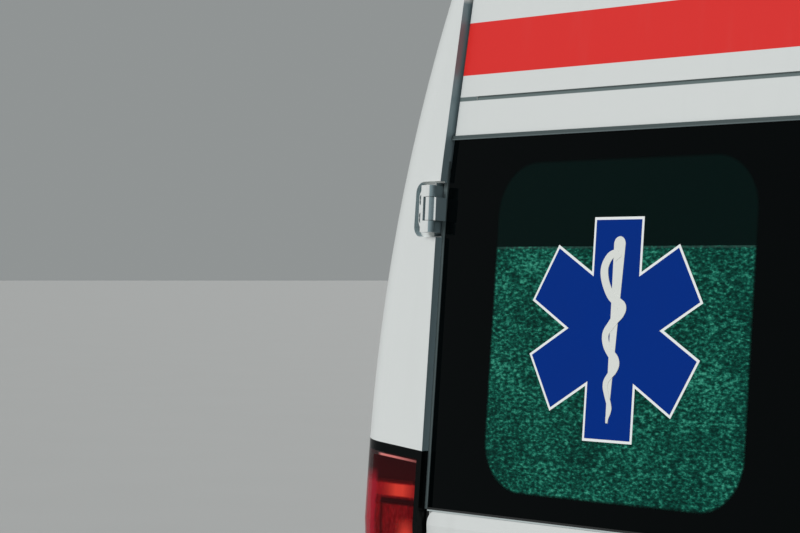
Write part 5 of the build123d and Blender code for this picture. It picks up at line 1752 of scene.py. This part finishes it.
@dataclass
class Sides:
    """Window mouldings, small lamps, caps, rail and locks on the sides."""

    shop: Shop
    window_low: Flat = (-0.242, 1.393)
    window_high: Flat = (0.832, 1.972)
    cab_window: tuple[Flat, ...] = (
        (-1.540, 1.405),
        (-0.540, 1.405),
        (-0.540, 1.945),
        (-1.134, 1.945),
        (-1.540, 1.525),
    )
    cab_corners: tuple[float, ...] = (0.040, 0.040, 0.040, 0.060, 0.060)
    repeater: Flat = (-1.655, 1.010)
    drain: Flat = (2.28, 2.290)
    lock: Flat = (-0.510, 1.130)
    markers: Flat = (-0.10, 0.98)
    marker_z: float = 0.655
    rail_y: Flat = (0.940, 2.142)
    rail_z: float = 1.046
    flap_low: Flat = (-0.360, 0.850)
    flap_high: Flat = (-0.200, 1.010)
    mirror_y: float = -1.4718

    def build(self) -> None:
        """Makes the pieces of both sides."""
        for side in Side:
            self.windows(side)
            self.fittings(side)
            self.marker_lamps(side)
            self.mirror(side)
        self.slide_rail()
        self.fuel_flap()

    def windows(self, side: Side) -> None:
        """Rubber mouldings round one side's windows.

        Args:
            side: Side of the van.
        """
        surface = side_point(side)
        window = divided(rounded(self.window_low, self.window_high, 0.072, 8), 0.04)
        moulding = Shape().moulding(window, 0.017, -0.001, 0.0032, surface)
        self.shop.add(f"side_window_moulding_{side}", moulding, "seal_rubber")
        cab = divided(inset(softened(self.cab_window, self.cab_corners, 8), -0.010), 0.04)
        moulding = Shape().moulding(cab, 0.015, -0.001, 0.0030, surface)
        self.shop.add(f"cab_window_moulding_{side}", moulding, "seal_rubber", f"cab_door_{side}")

    def fittings(self, side: Side) -> None:
        """Indicator repeater, drain cap and cab door lock of one side.

        Args:
            side: Side of the van.
        """
        outline = rounded((-0.026, -0.013), (0.026, 0.013), 0.012)
        repeater = Shape().prism(outline, -0.001, 0.006, side_place(side, *self.repeater), 0.003)
        self.shop.add(f"repeater_{side}", repeater, "lamp_amber")
        cap = ((0.013, -0.001), (0.013, 0.0015), (0.010, 0.003), (0.0004, 0.0034))
        drain = Shape().lathe(cap, side_place(side, *self.drain), 28)
        self.shop.add(f"drain_cap_{side}", drain, "seal_rubber")
        barrel = ((0.0105, -0.001), (0.0105, 0.0035), (0.0085, 0.0048), (0.007, 0.004), (0.0004, 0.004))
        lock = Shape().lathe(barrel, side_place(side, *self.lock), 28)
        self.shop.add(f"cab_lock_{side}", lock, "bright_steel", f"cab_door_{side}")

    def slide_rail(self) -> None:
        """Dark liner and steel track in the sliding door's groove."""
        low, high = self.rail_y
        place = side_place(Side.RIGHT, (low + high) / 2, self.rail_z)
        half = (high - low) / 2
        liner = Shape().prism(rounded((-half, -0.0115), (half, 0.0115), 0.002), -0.0139, -0.0105, place)
        self.shop.add("slide_rail_liner", liner, "seal_rubber")
        outline = rounded((-half, -0.0110), (half, -0.0070), 0.001)
        track = Shape().prism(outline, -0.0110, -0.0015, place, 0.0004)
        self.shop.add("slide_rail_track", track, "dull_steel")

    def fuel_flap(self) -> None:
        """The gap round the fuel flap, and the notch that opens it."""
        outline = rounded(self.flap_low, self.flap_high, 0.020, 7)
        gap = Shape().moulding(outline, 0.0030, -0.003, 0.0003, side_point(Side.LEFT))
        self.shop.add("fuel_flap_gap", gap, "seal_rubber")
        middle = (self.flap_low[1] + self.flap_high[1]) / 2
        place = side_place(Side.LEFT, self.flap_high[0] - 0.010, middle)
        notch = Shape().prism(rounded((-0.007, -0.020), (0.007, 0.020), 0.0065), -0.001, 0.0006, place)
        self.shop.add("fuel_flap_notch", notch, "seal_rubber")

    def marker_lamps(self, side: Side) -> None:
        """Amber markers low on one side, in black holders.

        Args:
            side: Side of the van.
        """
        lamps, holders = Shape(), Shape()
        for y in self.markers:
            place = side_place(side, y, self.marker_z)
            holders.prism(rounded((-0.040, -0.019), (0.040, 0.019), 0.008), 0.0145, 0.0175, place, 0.001)
            lamps.prism(rounded((-0.034, -0.014), (0.034, 0.014), 0.007), 0.0175, 0.0225, place, 0.002)
        self.shop.add(f"marker_holders_{side}", holders, "trim_black")
        self.shop.add(f"marker_lamps_{side}", lamps, "lamp_amber")

    def mirror(self, side: Side) -> None:
        """Two glasses in one mirror housing.

        Args:
            side: Side of the van.
        """
        place = upright((0.0, self.mirror_y, 0.0), BACKWARD)
        glasses = (
            ("upper", ((-1.105, 1.512), (-1.228, 1.512), (-1.238, 1.707), (-1.106, 1.722)), (0.016, 0.022)),
            ("lower", ((-1.100, 1.418), (-1.220, 1.424), (-1.2265, 1.500), (-1.1035, 1.500)), (0.014, 0.014)),
        )
        for name, corners, (low, high) in glasses:
            outline = [(x * side.value, z) for x, z in softened(corners, (low, low, high, high))]
            glass = Shape().prism(outline, -0.0002, 0.0026, place, 0.0006)
            self.shop.add(f"mirror_{name}_glass_{side}", glass, "mirror_glass", f"cab_door_{side}")


@dataclass
class Roof:
    """Insides of the blue lamps, and fittings on the roof."""

    shop: Shop
    bar_rows: tuple[tuple[int, float], ...] = ((-1, -0.935), (1, -0.765))
    bar_x: float = 0.49
    bar_z: float = 2.590
    modules: int = 8
    diodes: int = 6
    gasket_low: Flat = (-0.6012, -0.9812)
    gasket_high: Flat = (0.6012, -0.7188)
    gasket_z: float = 2.5795
    reflector_radius: float = 0.040
    reflector_z: Flat = (0.018, 0.088)
    reflector_turn: float = 75.0
    aerial_y: float = 0.35

    def build(self) -> None:
        """Makes the pieces."""
        self.bar()
        self.beacon()
        self.aerial()

    def bar(self) -> None:
        """Modules in the light bar."""
        boxes, diodes = Shape(), Shape()
        module = rounded((-0.060, 0.0), (0.060, 0.044), 0.004)
        diode = ((0.0062, 0.0055), (0.0058, 0.0085), (0.0036, 0.0105), (0.0003, 0.0112))
        for way, y in self.bar_rows:
            for x in spread(-self.bar_x, self.bar_x, self.modules - 1):
                place = upright((x, y, self.bar_z), way)
                boxes.prism(module, -0.022, 0.006, place, 0.002)
                for across in spread(-0.045, 0.045, self.diodes - 1):
                    diodes.lathe(diode, place @ Matrix.Translation((across, 0.022, 0.0)), 14)
        self.shop.add("bar_modules", boxes, "lamp_chrome")
        self.shop.add("bar_diodes", diodes, "white_plastic")
        outline = rounded(self.gasket_low, self.gasket_high, 0.03)
        level = flat(Matrix.Translation((0.0, 0.0, self.gasket_z)))
        self.shop.add("bar_gasket", Shape().moulding(outline, 0.006, -0.0015, 0.003, level), "seal_rubber")

    def beacon(self) -> None:
        """Turning reflector of the beacon."""
        low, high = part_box("beacon_dome")
        middle = Vector(((low.x + high.x) / 2, (low.y + high.y) / 2, low.z))
        stem = ((0.030, 0.001), (0.030, 0.010), (0.012, 0.014), (0.012, 0.030))
        stem += ((0.009, 0.034), (0.009, 0.055), (0.0004, 0.058))
        bulb = Shape().lathe(stem, Matrix.Translation(middle), 28)
        self.shop.add("beacon_bulb", bulb, "bright_steel")
        rows = []
        for degrees in spread(-self.reflector_turn, self.reflector_turn, 12):
            turn = math.radians(degrees)
            out = Vector((math.sin(turn), -math.cos(turn), 0.0)) * self.reflector_radius
            foot, top = (Vector((0.0, 0.0, z)) for z in self.reflector_z)
            rows.append((middle + out + foot, middle + out * 0.9 + top))
        self.shop.add("beacon_reflector", Shape().ribbon(rows, Vector((0.0, 0.0015, 0.0))), "lamp_chrome")
        ring = ((0.069, 0.0), (0.0715, 0.004), (0.0685, 0.008), (0.0665, 0.004))
        gasket = Shape().lathe(ring, Matrix.Translation(middle + Vector((0.0, 0.0, -0.001))), 56, True)
        self.shop.add("beacon_gasket", gasket, "seal_rubber")

    def aerial(self) -> None:
        """Short rubber aerial."""
        place = Matrix.Translation((0.0, self.aerial_y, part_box("roof_shell")[1].z - 0.0015))
        profile = ((0.021, -0.001), (0.021, 0.006), (0.015, 0.012), (0.0065, 0.016))
        profile += ((0.0045, 0.050), (0.0035, 0.086), (0.0004, 0.089))
        self.shop.add("aerial", Shape().lathe(profile, place, 28), "seal_rubber")


@dataclass
class Underbody:
    """Spring nuts, half shafts and the exhaust's clamp under the floor."""

    shop: Shop
    clamp: Point = (0.150, -1.30, 0.341)
    spring_x: float = 0.530
    nut_step: float = 0.040
    nut_top: float = 0.3395
    folds: int = 6

    def build(self) -> None:
        """Makes the pieces."""
        for side in Side:
            self.spring_nuts(side)
            self.shaft(side)
        band = ((0.036, -0.012), (0.039, -0.009), (0.039, 0.009), (0.036, 0.012))
        clamp = Shape().lathe(band, upright(self.clamp, FORWARD), 32, True)
        self.shop.add("exhaust_clamp", clamp, "bright_steel")

    def spring_nuts(self, side: Side) -> None:
        """Nuts and bolt ends of the clamps that hold one leaf spring.

        Args:
            side: Side of the van.
        """
        shape = Shape()
        steps = (-self.nut_step, self.nut_step)
        for y in (REAR_AXLE + step for step in steps):
            for x in (side.value * self.spring_x + step for step in steps):
                place = Matrix.Translation((x, y, self.nut_top))
                shape.prism(hexagon(0.0095), -0.009, 0.0, place, 0.001)
                shape.lathe(((0.0055, -0.024), (0.0058, -0.023), (0.0058, -0.001)), place, 16)
        self.shop.add(f"spring_nuts_{side}", shape, "dull_steel")

    def shaft(self, side: Side) -> None:
        """Half shaft and its bellows at one front wheel.

        Args:
            side: Side of the van.
        """
        profile = [(0.012, 0.335), (0.044, 0.336), (0.046, 0.350), (0.044, 0.362)]
        for k in range(self.folds):
            at, wide = 0.368 + 0.016 * k, 0.043 - 0.003 * k
            profile += [(wide, at), (wide - 0.007, at + 0.008)]
        profile += [(0.0145, 0.466), (0.0145, 0.660), (0.0004, 0.662)]
        place = sideways((0.0, FRONT_AXLE, TYRE_RADIUS), side)
        self.shop.add(f"half_shaft_{side}", Shape().lathe(profile, place, 28), "seal_rubber")


@dataclass
class Pad:
    """A stuffed pad: a crowned form that cloth simulation fills out.

    Attributes:
        name: Name of its meshes.
        size: Width, length and height.
        crown: How far the top rises in the middle.
        pull: How far the sides pull in between the corners.
        cap: How far the simulation may move a point.
        voxel: Size of the remesh.
        pressure: Force that fills it.
        frames: Steps of the simulation.
    """

    name: str
    size: Point
    crown: float = 0.022
    pull: float = 0.006
    cap: float = 0.014
    voxel: float = 0.008
    quick_voxel: float = 0.014
    pressure: float = 4.0
    frames: int = 20

    def mesh(self) -> Mesh:
        """Makes the pad round its own middle.

        Returns:
            The mesh.
        """
        half = Vector(self.size) / 2
        outline = rounded((-1.0, -1.0), (1.0, 1.0), 0.24, 7)
        profile = ((0.02, -1.0), (0.5, -1.0), (0.86, -0.97), (0.965, -0.72), (1.0, -0.25), (1.0, 0.25))
        profile += ((0.965, 0.70), (0.88, 0.93), (0.72, 1.0), (0.45, 1.0), (0.2, 1.0), (0.02, 1.0))
        rings = []
        for share, height in profile:
            ring = []
            for u, v in outline:
                belly = 1 - 0.5 * (u * u + v * v) * share * share
                rise = self.crown * max(0.0, belly) if height > 0.5 else 0.0
                waist = 1 - self.pull / half.x * (1 - abs(v)) if share > 0.8 else 1.0
                ring.append(Vector((u * half.x * share * waist, v * half.y * share, height * half.z + rise)))
            rings.append(ring)
        shape = Shape().skin(rings)
        bmesh.ops.recalc_face_normals(shape.mesh, faces=shape.mesh.faces[:])
        mesh = bpy.data.meshes.new(self.name)
        shape.mesh.to_mesh(mesh)
        shape.mesh.free()
        return mesh

    def filled(self) -> Mesh:
        """Returns:
            The mesh, with its points held near their start.
        """
        source = bpy.data.objects.new(self.name, self.mesh())
        bpy.context.scene.collection.objects.link(source)
        remesh = source.modifiers.new("remesh", "REMESH")
        remesh.mode = "VOXEL"
        remesh.voxel_size = self.voxel
        start = self.applied(source)
        source.modifiers.clear()
        source.data = start
        source.data = self.pressed(source, start)
        smooth = source.modifiers.new("smooth", "SUBSURF")
        smooth.levels = smooth.render_levels = 1
        done = self.applied(source)
        bpy.data.objects.remove(source)
        for face in done.polygons:
            face.use_smooth = True
        log.info("%s filled: %d points", self.name, len(done.vertices))
        return done

    def pressed(self, source: Piece, start: Mesh) -> Mesh:
        """Runs the simulation and caps how far each point moves.

        Args:
            source: The object that is filled.
            start: Its mesh before that.

        Returns:
            The mesh at the last step.
        """
        cloth = source.modifiers.new("cloth", "CLOTH")
        cloth.settings.quality = 4
        cloth.settings.use_pressure = True
        cloth.settings.uniform_pressure_force = self.pressure
        cloth.settings.effector_weights.gravity = 0.0
        for step in range(1, self.frames + 1):
            bpy.context.scene.frame_set(step)
        made = self.applied(source)
        for point, home in zip(made.vertices, start.vertices):
            move = point.co - home.co
            if move.length > self.cap:
                point.co = home.co + move.normalized() * self.cap
        source.modifiers.clear()
        bpy.context.scene.frame_set(1)
        return made

    def applied(self, source: Piece) -> Mesh:
        """Mesh of an object as its modifiers leave it."""
        graph = bpy.context.evaluated_depsgraph_get()
        return bpy.data.meshes.new_from_object(source.evaluated_get(graph))


@dataclass
class Cab:
    """Seats and fittings of the cab."""

    shop: Shop
    places: tuple[Flat, ...] = ((0.210, 0.720), (-0.860, -0.380), (-0.380, 0.100))
    seat_wide: float = 0.51
    pivot: Flat = (-0.640, 0.820)
    cushion_back: float = 0.262
    cushion_rise: float = 0.008
    back_up: float = 0.315
    head_up: float = 0.742
    post_up: Flat = (0.585, 0.690)
    post_half: float = 0.055
    recline: float = math.radians(12)
    frame_y: Flat = (-1.080, -0.680)
    frame_z: Flat = (0.536, 0.768)
    cluster: Flat = (0.465, 1.262)
    cluster_half: Flat = (0.175, 0.075)
    cluster_y: Flat = (-1.66, -1.565)
    vents: tuple[float, ...] = (-0.78, -0.10, 0.12, 0.78)
    vent_at: Flat = (-1.492, 1.205)
    screen_at: Flat = (-1.487, 1.10)
    lever: tuple[Point, ...] = ((0.10, -1.455, 1.02), (0.105, -1.42, 1.07), (0.11, -1.395, 1.115))
    knob_at: Point = (0.11, -1.392, 1.112)
    pedal_rows: tuple[Flat, ...] = ((0.34, 0.032), (0.455, 0.036), (0.575, 0.024))
    mirror_at: Flat = (-1.480, 1.905)
    visor_x: float = 0.42
    visor_at: Flat = (-1.400, 2.010)

    def build(self) -> None:
        """Makes the pieces."""
        self.seats()
        self.cluster_cowl()
        self.dash_vents()
        self.gear_lever()
        self.dash_screen()
        self.pedals()
        self.inner_mirror()
        self.sun_visors()

    def seats(self) -> None:
        """Three places with cushions, backs and headrests, and the frames that carry them."""
        cushion = Pad("cushion", (0.490, 0.520, 0.118)).filled()
        back = Pad("back", (0.470, 0.590, 0.100), crown=0.018).filled()
        head = Pad("head", (0.230, 0.165, 0.080), crown=0.010, voxel=0.006).filled()
        frames = Shape()
        pads = []
        for number, (low, high) in enumerate(self.places):
            middle, width = (low + high) / 2, (high - low) / self.seat_wide
            y, z = self.pivot
            seat = Matrix.Translation((middle, y - self.cushion_back, z + self.cushion_rise))
            spots = (
                ("cushion", cushion, width, seat),
                ("back", back, width, self.back_place(middle, self.back_up, 0.0)),
                ("headrest", head, 1.0, self.back_place(middle, self.head_up, -0.016)),
            )
            for name, mesh, wide, spot in spots:
                place = spot @ Matrix.Diagonal((wide, 1.0, 1.0, 1.0))
                pads.append(self.shop.pad(f"seat_{name}_{number}", mesh, place, "seat_cloth", 0.75))
            self.piping(number, middle, width)
            outline = rounded((low + 0.03, self.frame_y[0]), (high - 0.03, self.frame_y[1]), 0.03)
            frames.prism(outline, *self.frame_z, Matrix.Identity(4), 0.008)
            for post in (-self.post_half, self.post_half):
                start, end = (self.back_place(middle + post, up, 0.0).translation for up in self.post_up)
                frames.tube([start, (start + end) / 2, end], 0.0065, 12)
        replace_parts(self.shop.add("seat_frames", frames, "dash_plastic"), "cab_seats")
        first = pads[0]
        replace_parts(first, "cab_seats")

    def back_place(self, x: float, up: float, out: float) -> Matrix:
        """Place on a backrest, with its front as the third axis.

        Args:
            x: Place across the van.
            up: Way up the backrest from its pivot.
            out: Way forward out of it.

        Returns:
            The place.
        """
        y, z = self.pivot
        sin, cos = math.sin(self.recline), math.cos(self.recline)
        behind = -0.020 - out
        origin = (x, y + up * sin + behind * cos, z + up * cos - behind * sin)
        return upright(origin, FORWARD, (sin, cos))

    def piping(self, number: int, middle: float, width: float) -> None:
        """Piping and sewn channels of one place.

        Args:
            number: Number of the place.
            middle: Its middle across the van.
            width: Its width as a share of the widest.
        """
        shape = Shape()
        y = self.pivot[0] - self.cushion_back
        half = 0.245 * width
        ring = rounded((middle - half * 0.95, y - 0.247), (middle + half * 0.95, y + 0.247), 0.06, 6)
        shape.tube([(u, v, 0.8625) for u, v in ring], 0.0035, 8, True)
        for across in (-0.14, 0.14):
            x = middle + across * width
            channel = [(x, y + 0.03 * k, 0.893 + 0.010 * (1 - (k / 8) ** 2)) for k in range(-7, 8)]
            shape.tube(channel, 0.0026, 6)
        ring = rounded((-half * 0.92, -0.272), (half * 0.92, 0.272), 0.07, 6)
        place = self.back_place(middle, self.back_up, 0.0)
        shape.tube([place @ Vector((u, v, 0.026)) for u, v in ring], 0.0035, 8, True)
        self.shop.add(f"seat_piping_{number}", shape, "seal_rubber")

    def cluster_cowl(self) -> None:
        """Hood over the instruments."""
        x, z = self.cluster
        wide, high = self.cluster_half
        rows = []
        for degrees in spread(0.0, 180.0, 12):
            turn = math.radians(degrees)
            u, v = x + wide * math.cos(turn), z + high * math.sin(turn)
            rows.append(tuple(Vector((u, y, v)) for y in self.cluster_y))
        self.shop.add("dash_cowl", Shape().ribbon(rows, Vector((0.0, 0.0, -0.004))), "dash_plastic")

    def dash_vents(self) -> None:
        """Round vents with five slats each."""
        shape = Shape()
        ring = ((0.046, -0.004), (0.048, 0.004), (0.044, 0.008), (0.040, 0.004), (0.040, -0.002))
        for x in self.vents:
            place = upright((x, *self.vent_at), BACKWARD, (-0.34, 0.94))
            shape.lathe(ring, place, 36, True)
            for z in spread(-0.026, 0.026, 4):
                reach = math.sqrt(0.039**2 - z * z)
                slat = [(-reach, z), (reach, z), (reach, z + 0.002), (-reach, z + 0.002)]
                shape.prism(slat, -0.002, 0.005, place)
        self.shop.add("dash_vents", shape, "gloss_black")

    def gear_lever(self) -> None:
        """Gear lever with its knob."""
        shape = Shape().tube(self.lever, 0.009, 12)
        knob = ((0.009, 0.0), (0.021, 0.010), (0.025, 0.026), (0.022, 0.042), (0.010, 0.049), (0.0004, 0.050))
        shape.lathe(knob, upright(self.knob_at, FORWARD, (0.9, -0.42)), 28)
        self.shop.add("gear_lever", shape, "gloss_black")

    def dash_screen(self) -> None:
        """Dark screen in the middle of the dashboard."""
        face = upright((0.0, *self.screen_at), BACKWARD, (-0.20, 0.98))
        screen = Shape().prism(rounded((-0.085, 0.0), (0.085, 0.085), 0.008), -0.004, 0.004, face, 0.002)
        self.shop.add("dash_screen", screen, "gloss_black")

    def pedals(self) -> None:
        """Three pedals."""
        shape = Shape()
        for x, wide in self.pedal_rows:
            place = upright((x, -1.735, 0.640), FORWARD, (-0.45, 0.89))
            shape.prism(rounded((-wide, -0.035), (wide, 0.035), 0.008), -0.012, 0.0, place, 0.003)
            shape.tube([(x, -1.745, 0.645), (x, -1.790, 0.720), (x, -1.800, 0.860)], 0.007, 10)
        self.shop.add("pedals", shape, "seal_rubber")

    def inner_mirror(self) -> None:
        """Mirror under the windscreen's top."""
        place = upright((0.0, *self.mirror_at), BACKWARD, (-0.12, 0.99))
        body = Shape().prism(rounded((-0.12, -0.032), (0.12, 0.032), 0.022), -0.022, 0.0, place, 0.006)
        body.tube([(0.0, -1.495, 1.93), (0.0, -1.500, 1.96), (0.0, -1.498, 1.99)], 0.006, 12)
        self.shop.add("inner_mirror", body, "dash_plastic")
        glass = Shape().prism(rounded((-0.115, -0.027), (0.115, 0.027), 0.019), 0.0, 0.0015, place, 0.0005)
        self.shop.add("inner_mirror_glass", glass, "mirror_glass")

    def sun_visors(self) -> None:
        """Both visors, folded up."""
        shape = Shape()
        for x in (-self.visor_x, self.visor_x):
            place = upright((x, *self.visor_at), FORWARD, (0.94, 0.34))
            shape.prism(rounded((-0.20, -0.075), (0.20, 0.075), 0.02), -0.010, 0.010, place, 0.006)
        self.shop.add("sun_visors", shape, "board_grey")


@dataclass
class LoadSpace:
    """Mattress, straps, cabinet fronts and rail in the load space."""

    shop: Shop
    cot_x: float = 0.310
    sections: tuple[Flat, ...] = ((0.170, 0.760), (0.760, 1.360), (1.360, 2.100))
    section_length: float = 0.648
    seam: float = 0.004
    mattress_z: float = 0.936
    straps: tuple[float, ...] = (0.52, 1.06, 1.66)
    strap_half: float = 0.2675
    strap_wide: float = 0.024
    strap_top: float = 0.984
    buckle_x: float = 0.350
    lower_front: float = 0.700
    lower_rows: tuple[Flat, ...] = ((0.560, 0.800), (0.810, 1.075), (1.085, 1.345))
    upper_front: float = 0.640
    upper_rows: tuple[Flat, ...] = ((2.005, 2.185),)
    door_start: float = -0.365
    door_step: float = 0.515
    door_wide: float = 0.505
    rail: tuple[Point, ...] = (
        (-0.25, -0.20, 2.352),
        (-0.25, -0.20, 2.292),
        (-0.25, -0.17, 2.262),
        (-0.25, 0.9, 2.260),
        (-0.25, 1.87, 2.262),
        (-0.25, 1.90, 2.292),
        (-0.25, 1.90, 2.352),
    )

    def build(self) -> None:
        """Makes the pieces."""
        self.mattress()
        self.cot_straps()
        self.cabinet()
        self.ceiling()

    def mattress(self) -> None:
        """Padded mattress in three sections."""
        pad = Pad("mattress", (0.512, 0.640, 0.066), crown=0.009, cap=0.008, voxel=0.008).filled()
        pads = []
        for number, (low, high) in enumerate(self.sections):
            stretch = Matrix.Diagonal((1.0, (high - low - self.seam) / self.section_length, 1.0, 1.0))
            place = Matrix.Translation((self.cot_x, (low + high) / 2, self.mattress_z)) @ stretch
            pads.append(self.shop.pad(f"mattress_{number}", pad, place, "mattress_vinyl", 0.85))
        first = pads[0]
        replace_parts(first, "stretcher_mattress")

    def cot_straps(self) -> None:
        """Three straps over the mattress, with their buckles."""
        straps, buckles = Shape(), Shape()
        for y in self.straps:
            rows = []
            for t in spread(-1.0, 1.0, 24):
                x = self.cot_x + self.strap_half * max(-1.0, min(1.0, t * 1.12))
                drop = max(0.0, abs(t) - 0.893) / 0.107
                z = self.strap_top - 0.006 * t * t - 0.074 * drop
                rows.append(tuple(Vector((x, y + edge, z)) for edge in (-self.strap_wide, self.strap_wide)))
            straps.ribbon(rows, Vector((0.0, 0.0, 0.0022)))
            place = Matrix.Translation((self.buckle_x, y, self.strap_top + 0.001))
            buckles.prism(rounded((-0.034, -0.028), (0.034, 0.028), 0.006), 0.001, 0.013, place, 0.004)
        self.shop.add("cot_straps", straps, "strap_web")
        self.shop.add("cot_buckles", buckles, "bright_steel")

    def cabinet(self) -> None:
        """Doors and handles on the cabinets."""
        doors, handles = Shape(), Shape()
        for front, rows in ((self.lower_front, self.lower_rows), (self.upper_front, self.upper_rows)):
            view = sideways((front, 0.0, 0.0), Side.RIGHT)
            for low, high in rows:
                for n in range(3):
                    start = self.door_start + self.door_step * n
                    door = rounded((-(start + self.door_wide), low), (-start, high), 0.012)
                    doors.prism(door, -0.001, 0.010, view, 0.003)
                    middle = -(start + self.door_wide / 2)
                    handle = rounded((middle - 0.045, high - 0.045), (middle + 0.045, high - 0.025), 0.006)
                    handles.prism(handle, 0.009, 0.017, view, 0.003)
        self.shop.add("cabinet_doors", doors, "white_plastic")
        self.shop.add("cabinet_handles", handles, "bright_steel")

    def ceiling(self) -> None:
        """Grab rail under the roof."""
        self.shop.add("ceiling_rail", Shape().tube(self.rail, 0.014, 14), "bright_steel")


@dataclass
class Studio:
    """Camera, floor and lights.

    Each sun has a name, the way it shines, watts for each square metre and its width in degrees.
    """

    eye: Point = (-2.059, 5.305, 1.767)
    aim: Point = (0.7415, -0.671, -0.0025)
    lens: float = 100.2
    suns: tuple[tuple[str, Point, float, float], ...] = (
        ("key", (-0.16, -0.78, -0.60), 2.05, 30.0),
        ("front_fill", (-0.30, 0.80, -0.52), 1.3, 60.0),
        ("right_fill", (0.80, 0.10, -0.58), 0.25, 70.0),
    )
    sky: Colour = (0.50, 0.53, 0.53)
    sky_strength: float = 0.56
    floor_size: float = 400.0

    def build(self) -> None:
        """Sets up the picture."""
        scene = bpy.context.scene
        data = bpy.data.cameras.new("camera")
        data.lens = self.lens
        data.sensor_width = 36.0
        data.clip_start = 0.05
        data.clip_end = 200.0
        camera = bpy.data.objects.new("camera", data)
        camera.location = self.eye
        camera.rotation_euler = Vector(self.aim).to_track_quat("-Z", "Y").to_euler()
        scene.collection.objects.link(camera)
        scene.camera = camera
        scene.view_settings.view_transform = "Standard"
        scene.view_settings.look = "None"
        self.world(scene)
        self.floor(scene)
        for sun in self.suns:
            self.sun(*sun)

    def world(self, scene: bpy.types.Scene) -> None:
        """Makes the plain surroundings.

        Args:
            scene: Scene that they are for.
        """
        world = bpy.data.worlds.new("studio")
        world.use_nodes = True
        back = world.node_tree.nodes["Background"]
        back.inputs["Color"].default_value = (*self.sky, 1.0)
        back.inputs["Strength"].default_value = self.sky_strength
        scene.world = world

    def floor(self, scene: bpy.types.Scene) -> None:
        """Lays a pale floor.

        Args:
            scene: Scene that it goes into.
        """
        mesh = bpy.data.meshes.new("floor")
        size = self.floor_size
        corners = [(-size, -size, 0.0), (size, -size, 0.0), (size, size, 0.0), (-size, size, 0.0)]
        mesh.from_pydata(corners, [], [(0, 1, 2, 3)])
        floor = bpy.data.objects.new("studio_floor", mesh)
        scene.collection.objects.link(floor)
        s = Shader("floor_pale", Roughness=0.8)
        s.set("Base Color", s.mix(s.noise(0.8, 4.0), (0.36, 0.365, 0.36), (0.345, 0.35, 0.345)))
        mesh.materials.append(s.material)

    def sun(self, name: str, aim: Point, strength: float, angle: float) -> None:
        """Adds a broad, soft, even light.

        Args:
            name: Name of the light.
            aim: Which way it shines.
            strength: In watts for each square metre.
            angle: Its width in degrees.
        """
        data = bpy.data.lights.new(name, "SUN")
        data.angle = math.radians(angle)
        data.energy = strength
        lamp = bpy.data.objects.new(name, data)
        lamp.rotation_euler = Vector(aim).to_track_quat("-Z", "Y").to_euler()
        bpy.context.scene.collection.objects.link(lamp)


@dataclass
class Dress:
    """Finishes of the frame's own nodes. Where a name ends in _ both sides have one."""

    finishes: Finishes
    table: tuple[tuple[str, str], ...] = (
        ("paint_side", "body_side_ sliding_door wing_ cab_door_ roof_shell"),
        ("paint_rear", "rear_door_"),
        ("paint_plain", "cab_frame bonnet rear_hinges"),
        ("trim_black", "front_bumper rear_bumper front_grille mirror_ plate_lamp_bar rear_handle"),
        ("plate_white", "number_plate"),
        ("glass_clear", "windscreen cab_glass_"),
        ("glass_dark", "side_glass"),
        ("glass_rear", "rear_glass_"),
        ("lens_tail", "tail_lamps"),
        ("lens_red", "high_brake_light"),
        ("lens_clear", "headlamps"),
        ("lens_blue", "light_bar_lens beacon_dome"),
        ("white_plastic", "light_bar_base beacon_base"),
        ("dash_plastic", "dashboard steering_wheel"),
        ("board_grey", "bulkhead equipment_cabinet"),
        ("floor_cover", "floor_pan"),
        ("cast_metal", "engine_block"),
        ("chassis_black", "front_subframe rear_axle chassis_rails knuckle_ fuel_tank"),
        ("dull_steel", "exhaust"),
        ("tube_metal", "stretcher_frame"),
        ("mattress_vinyl", "stretcher_mattress"),
        ("seat_cloth", "cab_seats"),
        ("tyre_rubber", "spare_wheel tyre_front_ tyre_rear_"),
        ("rim_silver", "rim_front_ rim_rear_"),
    )

    def build(self) -> None:
        """Gives each node its finish."""
        for finish, names in self.table:
            for name in names.split():
                both = [f"{name}{side}" for side in Side] if name.endswith("_") else [name]
                self.finishes.dress(finish, *both)


def main() -> None:
    """Builds the whole picture."""
    logging.basicConfig(level=logging.INFO)
    finishes = Finishes.build()
    Studio().build()
    Dress(finishes).build()
    shop = Shop(finishes)
    for group in (RearDoors, TailLamps, Wheels, FrontEnd, Sides, Roof, Underbody, Cab, LoadSpace):
        group(shop).build()
    log.info("%d pieces", shop.count)


if __name__ == "__main__":
    main()
